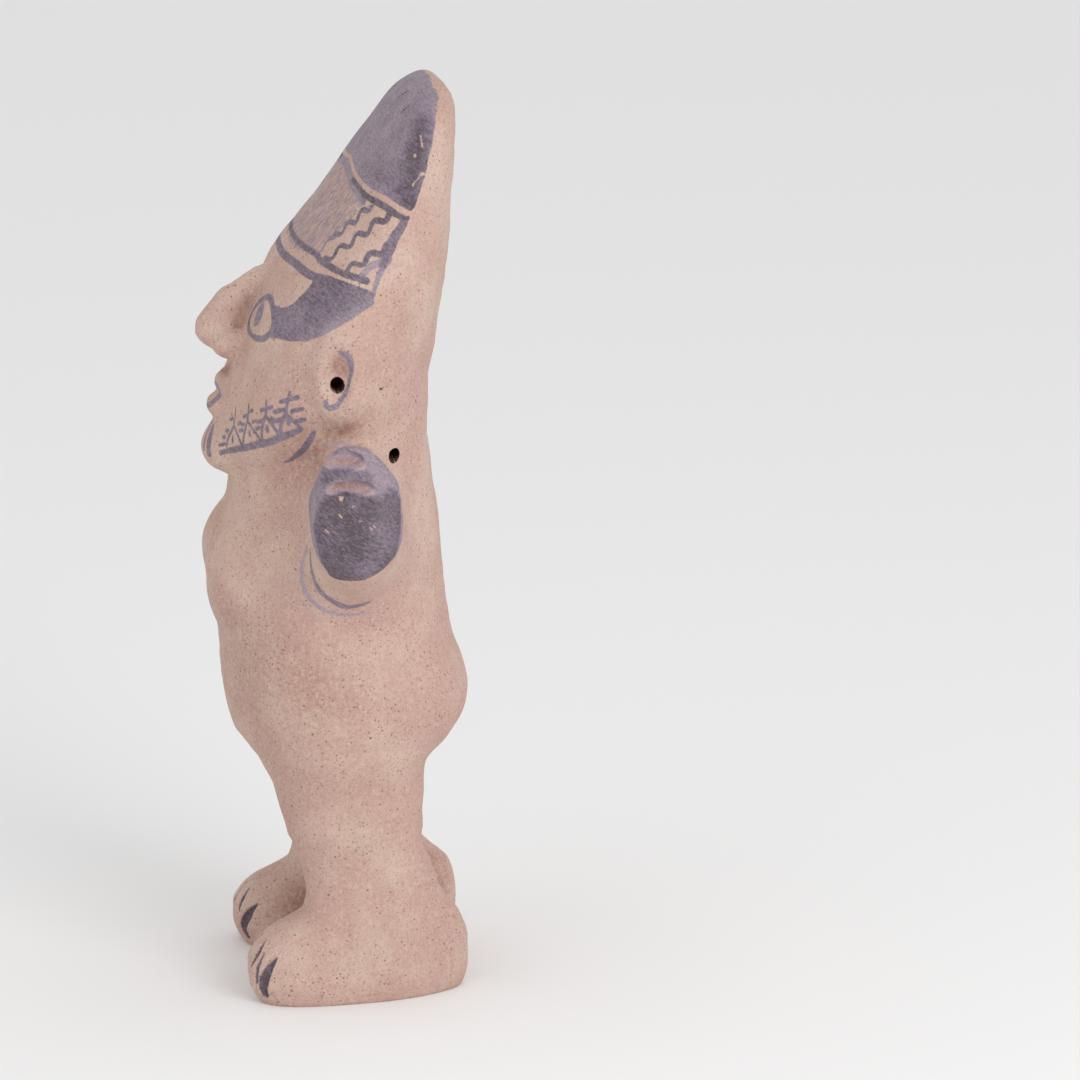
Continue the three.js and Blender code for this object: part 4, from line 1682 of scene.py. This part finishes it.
    def shape(self, points: Points, normals: Points) -> Points:
        """Give the points the hand's unevenness, the hollows, holes and toe lines.

        Args:
            points: the smooth skin's points.
            normals: their outward directions.

        Returns:
            The finished points.
        """
        left = points[:, 0] >= 0
        sided, turned = flip(points, ~left), flip(normals, ~left)
        moved = points + normals * self.surface.uneven(points)[:, None]
        moved[:, 1] += self.feet.heel_shift(points, left)
        moved = flip(moved, ~left)
        for groove in self.grooves():
            groove.press(sided, turned, moved, left)
        for pit in self.pits():
            moved = np.where(pit.side.holds(left)[:, None], pit.press(sided, moved), moved)
        low, high = np.array(cad_box[0]) / MM, np.array(cad_box[1]) / MM
        return np.clip(flip(moved, ~left), low, high)

    def build(self) -> bpy.types.Object:
        """Make the figure's mesh and dress it.

        Returns:
            The figure, in the scene.
        """
        skin = self.skin()
        _, slope = slope_of(CLAY.distance, skin.points)
        normals = slope / np.maximum(np.linalg.norm(slope, axis=1), 1e-6)[:, None]
        skin.points[:, 2] = np.maximum(skin.points[:, 2], 0)
        depth, tone, wash = self.paint(skin.points, normals)
        soil_and_shading = self.soil_and_shading(skin.points, normals)
        points = self.shape(skin.points, normals)
        mesh = bpy.data.meshes.new("painted_figure")
        mesh.vertices.add(len(points))
        mesh.vertices.foreach_set("co", (points * MM).ravel())
        mesh.loops.add(len(skin.corners))
        mesh.loops.foreach_set("vertex_index", skin.corners)
        mesh.polygons.add(len(skin.starts))
        mesh.polygons.foreach_set("loop_start", skin.starts)
        mesh.update(calc_edges=True)
        mesh.validate()
        mesh.shade_smooth()
        held = {"slip_depth": depth, "slip_tone": tone, "slip_wash": wash, "soil_and_shading": soil_and_shading}
        for name, values in held.items():
            layer = mesh.attributes.new(name, "FLOAT", "POINT")
            layer.data.foreach_set("value", values.astype(np.float32))
        mesh.materials.append(PaintedClay().build())
        piece = bpy.data.objects.new("painted_figure", mesh)
        bpy.context.scene.collection.objects.link(piece)
        return piece


def colour(red: float, green: float, blue: float) -> Colour:
    """Turn a colour as a screen shows it into Blender's linear one.

    Args:
        red: how red it is, from 0 to 255.
        green: how green it is.
        blue: how blue it is.

    Returns:
        The linear colour, opaque.
    """
    shown = (red / 255, green / 255, blue / 255)
    linear = [c / 12.92 if c <= 0.04045 else ((c + 0.055) / 1.055) ** 2.4 for c in shown]
    return (*linear, 1.0)


@dataclass(frozen=True)
class Bench:
    """A node tree and the short ways to place nodes in it."""

    tree: bpy.types.NodeTree

    def put(self, kind: str, inputs: dict | None = None, **settings: object) -> bpy.types.Node:
        """Place a node.

        Args:
            kind: the node's type name.
            inputs: values or sockets, by the name or number of the input they go to.
            settings: the node's own settings.

        Returns:
            The node.
        """
        made = self.tree.nodes.new(kind)
        for name, value in settings.items():
            setattr(made, name, value)
        for name, value in (inputs or {}).items():
            if isinstance(value, Socket):
                self.tree.links.new(value, made.inputs[name])
            else:
                made.inputs[name].default_value = value
        return made

    def sum(self, how: str, a: object, b: object = 0.0) -> Socket:
        """Work out one number from two."""
        return self.put("ShaderNodeMath", {0: a, 1: b}, operation=how).outputs[0]

    def swing(self, noise: Socket, amount: float) -> Socket:
        """Make noise swing about zero."""
        return self.sum("MULTIPLY", self.sum("SUBTRACT", noise, 0.5), amount)

    def ramp(self, value: object, low: float, high: float, start: float = 0.0, end: float = 1.0) -> Socket:
        """Carry a value smoothly from one range to another."""
        inputs = {"Value": value, "From Min": low, "From Max": high, "To Min": start, "To Max": end}
        return self.put("ShaderNodeMapRange", inputs, interpolation_type="SMOOTHSTEP").outputs[0]

    def mix(self, share: object, a: object, b: object) -> Socket:
        """Mix two colours."""
        return self.put("ShaderNodeMix", {0: share, 6: a, 7: b}, data_type="RGBA").outputs[2]

    def noise(self, vector: Socket, scale: float, detail: float = 2.0, rough: float = 0.5) -> Socket:
        """Make cloudy noise, its scale in features to a millimetre."""
        inputs = {"Vector": vector, "Scale": scale, "Detail": detail, "Roughness": rough}
        return self.put("ShaderNodeTexNoise", inputs).outputs[0]

    def stretch(self, vector: Socket, factors: tuple[float, float, float], turn: float) -> Socket:
        """Scale a vector unevenly, after turning it about the X axis."""
        inputs = {"Vector": vector, "Angle": turn}
        turned = self.put("ShaderNodeVectorRotate", inputs, rotation_type="X_AXIS").outputs[0]
        return self.put("ShaderNodeVectorMath", {0: turned, 1: factors}, operation="MULTIPLY").outputs[0]

    def attribute(self, name: str) -> Socket:
        """Read a number that the mesh holds."""
        return self.put("ShaderNodeAttribute", attribute_name=name).outputs["Fac"]


def specks_group() -> bpy.types.NodeTree:
    """Build the group that scatters specks, or find it if it is there already.

    Returns:
        The group: Vector, Scale, Share and Size go in, and the specks' Mask comes out.
    """
    if "specks" in bpy.data.node_groups:
        return bpy.data.node_groups["specks"]
    least_size, least_strength, core = 0.4, 0.4, 0.35
    tree = bpy.data.node_groups.new("specks", "ShaderNodeTree")
    face = tree.interface
    face.new_socket("Vector", in_out="INPUT", socket_type="NodeSocketVector")
    for name in ("Scale", "Share", "Size"):
        face.new_socket(name, in_out="INPUT", socket_type="NodeSocketFloat")
    face.new_socket("Mask", in_out="OUTPUT", socket_type="NodeSocketFloat")
    bench = Bench(tree)
    given = bench.put("NodeGroupInput").outputs
    cells = bench.put("ShaderNodeTexVoronoi", {"Vector": given["Vector"], "Scale": given["Scale"]})
    draws = bench.put("ShaderNodeSeparateColor", {0: cells.outputs["Color"]}).outputs
    share_of_size = bench.sum("ADD", bench.sum("MULTIPLY", draws[1], 0.7), least_size)
    size = bench.sum("MULTIPLY", given["Size"], share_of_size)
    inner = bench.sum("MULTIPLY", size, core)
    inputs = {"Value": cells.outputs["Distance"], "From Min": size, "From Max": inner}
    spot = bench.put("ShaderNodeMapRange", inputs).outputs[0]
    kept = bench.sum("LESS_THAN", draws[0], given["Share"])
    strength = bench.sum("ADD", bench.sum("MULTIPLY", draws[2], 0.6), least_strength)
    mask = bench.sum("MULTIPLY", bench.sum("MULTIPLY", spot, kept), strength)
    bench.put("NodeGroupOutput", {"Mask": mask})
    return tree


@dataclass(frozen=True)
class PaintedClay:
    """Buff-pink fired clay, speckled, with dark slip brushed over it."""

    pink: Colour = colour(191, 157, 145)
    cream: Colour = colour(207, 183, 168)
    rose: Colour = colour(194, 158, 150)
    # Painted shade in creases and under parts, and dirt, take this colour.
    soil_and_shade_brown: Colour = colour(148, 106, 91)
    grain: Colour = colour(160, 118, 106)
    speck: Colour = colour(120, 81, 70)
    # Near-black painted shade inside holes and cuts.
    hole: Colour = colour(80, 48, 37)
    lilac: Colour = colour(150, 142, 166)
    dark: Colour = colour(78, 67, 76)
    clay_rough: float = 0.82
    slip_rough: float = 0.66
    sheen: float = 0.35
    streaky: float = 1.15
    grainy: float = 0.8
    cloudy: float = 0.6
    bump: float = 0.6

    def specks(self, bench: Bench, vector: Socket, scale: float, share: object, size: float) -> Socket:
        """Scatter specks of one size."""
        inputs = {"Vector": vector, "Scale": scale, "Share": share, "Size": size}
        return bench.put("ShaderNodeGroup", inputs, node_tree=specks_group()).outputs["Mask"]

    def clay(self, bench: Bench, place: Socket, soil_and_shading: Socket) -> Socket:
        """Colour the bare clay: lightly mottled, browner in creases and near-black in holes as painted shade,
        with dark specks.

        Args:
            bench: the tree to work in.
            place: the place on the figure, in millimetres.
            soil_and_shading: the clay's dirt and painted shade there, negative where it is paler.

        Returns:
            The clay's colour.
        """
        broad = bench.noise(place, 0.04, 3, 0.55)
        middle = bench.noise(place, 0.2, 4, 0.65)
        base = bench.mix(bench.ramp(broad, 0.36, 0.66, 0.08, 0.86), self.pink, self.cream)
        base = bench.mix(bench.ramp(middle, 0.42, 0.7, 0, 0.5), base, self.rose)
        # Paler where the value is negative, in places as painted light.
        base = bench.mix(bench.ramp(soil_and_shading, 0, -1, 0, 0.9), base, self.cream)
        # Browner with painted shade in creases and under parts, and with dirt, broken up by patchy noise.
        patchy = bench.ramp(bench.noise(place, 0.5, 5, 0.75), 0.38, 0.62, 0.7, 1.3)
        base = bench.mix(bench.ramp(bench.sum("MULTIPLY", soil_and_shading, patchy), 0, 1, 0, 0.85), base, self.soil_and_shade_brown)
        grained = bench.ramp(bench.noise(place, 1.1, 4, 0.8), 0.42, 0.68, 0, 0.5)
        base = bench.mix(grained, base, self.grain)
        paled = bench.ramp(bench.noise(place, 0.6, 3, 0.75), 0.48, 0.7, 0, 0.55)
        base = bench.mix(paled, base, self.cream)
        crowd = bench.ramp(bench.noise(place, 0.06, 3), 0.36, 0.66, 0.18, 0.85)
        sparse = bench.sum("MULTIPLY", crowd, 0.7)
        rows = ((0.8, crowd, 0.38, 0.95), (0.42, sparse, 0.25, 0.9), (0.14, 0.35, 0.1, 0.9))
        for scale, share, size, strength in rows:
            mask = bench.sum("MULTIPLY", self.specks(bench, place, scale, share, size), strength)
            base = bench.mix(mask, base, self.speck)
        # Near-black painted shade inside holes and cuts.
        return bench.mix(bench.ramp(soil_and_shading, 1.15, 1.7), base, self.hole)

    def slip(self, bench: Bench, place: Socket, clay: Socket) -> tuple[Socket, Socket]:
        """Lay the slip over the clay.

        Args:
            bench: the tree to work in.
            place: the place on the figure, in millimetres.
            clay: the clay's colour.

        Returns:
            The painted clay's colour, and where the slip lies.
        """
        depth, tone, wash = (bench.attribute(n) for n in ("slip_depth", "slip_tone", "slip_wash"))
        ragged = bench.swing(bench.noise(place, 1.3, 3, 0.6), 0.8)
        wavering = bench.swing(bench.noise(place, 0.3, 1), 0.6)
        edge = bench.sum("ADD", depth, bench.sum("ADD", ragged, wavering))
        cover = bench.ramp(edge, -0.25, 0.3)
        scratched = bench.noise(bench.stretch(place, (1.3, 0.16, 1.3), -0.75), 1.0, 3, 0.7)
        bared = bench.sum("MULTIPLY", wash, bench.ramp(scratched, 0.54, 0.48))
        cover = bench.sum("MULTIPLY", cover, bench.sum("SUBTRACT", 1.0, bared))
        streaks = bench.noise(bench.stretch(place, (0.4, 0.4, 1.7), 0.6), 1.0, 3, 0.7)
        grains = bench.noise(place, 1.1, 4, 0.75)
        clouds = bench.noise(place, 0.11, 3, 0.6)
        body = tone
        for part, swing in ((streaks, self.streaky), (grains, self.grainy), (clouds, self.cloudy)):
            body = bench.sum("ADD", body, bench.swing(part, swing))
        hiding = bench.ramp(body, -1.3, 1.1, 0.02, 0.97)
        slip = bench.mix(bench.sum("MAXIMUM", body, 0.0), self.lilac, self.dark)
        return bench.mix(bench.sum("MULTIPLY", cover, hiding), clay, slip), cover

    def relief(self, bench: Bench, place: Socket) -> Socket:
        """Give the finest relief, grainy and finely pitted, as a direction for the shader."""
        fine = bench.sum("MULTIPLY", bench.noise(place, 1.6, 4, 0.65), 0.16)
        soft = bench.sum("MULTIPLY", bench.noise(place, 0.35, 3, 0.5), 0.35)
        pits = bench.sum("MULTIPLY", self.specks(bench, place, 0.7, 0.2, 0.22), -0.15)
        height = bench.sum("ADD", bench.sum("ADD", fine, soft), pits)
        inputs = {"Height": height, "Distance": MM, "Strength": self.bump}
        return bench.put("ShaderNodeBump", inputs).outputs[0]

    def build(self) -> bpy.types.Material:
        """Make the finish.

        Returns:
            The material.
        """
        finish = bpy.data.materials.new("painted_clay")
        finish.use_nodes = True
        tree = finish.node_tree
        bench = Bench(tree)
        shader = tree.nodes["Principled BSDF"]
        where = bench.put("ShaderNodeTexCoord").outputs["Object"]
        place = bench.put("ShaderNodeVectorMath", {0: where, "Scale": 1 / MM}, operation="SCALE").outputs[0]
        clay = self.clay(bench, place, bench.attribute("soil_and_shading"))
        painted, cover = self.slip(bench, place, clay)
        tree.links.new(painted, shader.inputs["Base Color"])
        roughness = bench.ramp(cover, 0, 1, self.clay_rough, self.slip_rough)
        tree.links.new(roughness, shader.inputs["Roughness"])
        shader.inputs["Specular IOR Level"].default_value = self.sheen
        tree.links.new(self.relief(bench, place), shader.inputs["Normal"])
        return finish


@dataclass(frozen=True)
class Lamp:
    """A square lamp: how far round, how high and how large it is, and its power."""

    name: str
    azimuth: float
    height: float
    power: float
    size: float
    away: float = 1.6
    aim_height: float = 0.16

    def build(self) -> None:
        """Hang the lamp and aim it at the figure."""
        data = bpy.data.lights.new(self.name, "AREA")
        data.energy, data.size = self.power, self.size
        lamp = bpy.data.objects.new(self.name, data)
        a = math.radians(self.azimuth)
        place = Vector((self.away * math.sin(a), -self.away * math.cos(a), self.height))
        lamp.location = place
        lamp.rotation_mode = "QUATERNION"
        lamp.rotation_quaternion = (Vector((0, 0, self.aim_height)) - place).to_track_quat("-Z", "Y")
        bpy.context.scene.collection.objects.link(lamp)


@dataclass(frozen=True)
class Studio:
    """A pale floor, soft light and a camera at the photograph's viewing angle."""

    azimuth: float = 83.4
    elevation: float = 14.0
    distance: float = 2600.0
    pixel: float = 0.368
    origin_across: float = 332.5
    origin_down: float = 965.0
    picture: int = 1080
    sensor: float = 36.0
    nearest: float = 0.1
    farthest: float = 20.0
    floor_half: float = 6.0
    floor_tone: float = 0.9
    floor_rough: float = 0.9
    sky: float = 0.8
    lamps: tuple[Lamp, ...] = (Lamp("key", 118, 0.9, 11, 0.9), Lamp("fill", 40, 0.8, 1.5, 1.2))

    def camera(self) -> None:
        """Place the camera so that the figure stands where the photograph shows it."""
        a, e = math.radians(self.azimuth), math.radians(self.elevation)
        ahead = Vector((-math.sin(a) * math.cos(e), math.cos(a) * math.cos(e), -math.sin(e)))
        right = Vector((math.cos(a), math.sin(a), 0))
        upward = right.cross(ahead)
        centre = self.picture / 2
        target = right * (centre - self.origin_across) + upward * (self.origin_down - centre)
        data = bpy.data.cameras.new("photo_camera")
        data.sensor_width = self.sensor
        data.lens = self.sensor * self.distance / (self.picture * self.pixel)
        data.clip_start, data.clip_end = self.nearest, self.farthest
        camera = bpy.data.objects.new("photo_camera", data)
        turn = Matrix((right, upward, -ahead)).transposed().to_4x4()
        place = (target * self.pixel - ahead * self.distance) * MM
        camera.matrix_world = Matrix.Translation(place) @ turn
        bpy.context.scene.collection.objects.link(camera)
        bpy.context.scene.camera = camera

    def floor(self) -> None:
        """Lay a plain pale floor."""
        mesh = bpy.data.meshes.new("floor")
        half, tone = self.floor_half, self.floor_tone
        corners = [(-half, -half, 0), (half, -half, 0), (half, half, 0), (-half, half, 0)]
        mesh.from_pydata(corners, [], [(0, 1, 2, 3)])
        floor = bpy.data.objects.new("floor", mesh)
        finish = bpy.data.materials.new("floor_paper")
        finish.use_nodes = True
        shader = finish.node_tree.nodes["Principled BSDF"]
        shader.inputs["Base Color"].default_value = (tone, tone, tone, 1)
        shader.inputs["Roughness"].default_value = self.floor_rough
        mesh.materials.append(finish)
        bpy.context.scene.collection.objects.link(floor)

    def lights(self) -> None:
        """Light the figure softly from all round, a little more from the upper left."""
        world = bpy.data.worlds.new("studio")
        world.use_nodes = True
        sky = world.node_tree.nodes["Background"].inputs
        sky["Color"].default_value = (1, 1, 1, 1)
        sky["Strength"].default_value = self.sky
        bpy.context.scene.world = world
        bpy.context.scene.view_settings.view_transform = "Standard"
        for lamp in self.lamps:
            lamp.build()


def main() -> None:
    """Build the figure and its studio, in order."""
    figure = Figure().build()
    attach(figure, "root")
    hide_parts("figure")
    log.info("built %s with %d points", figure.name, len(figure.data.vertices))
    studio = Studio()
    studio.floor()
    studio.lights()
    studio.camera()


if __name__ == "__main__":
    logging.basicConfig(level=logging.INFO, format="%(message)s")
    main()
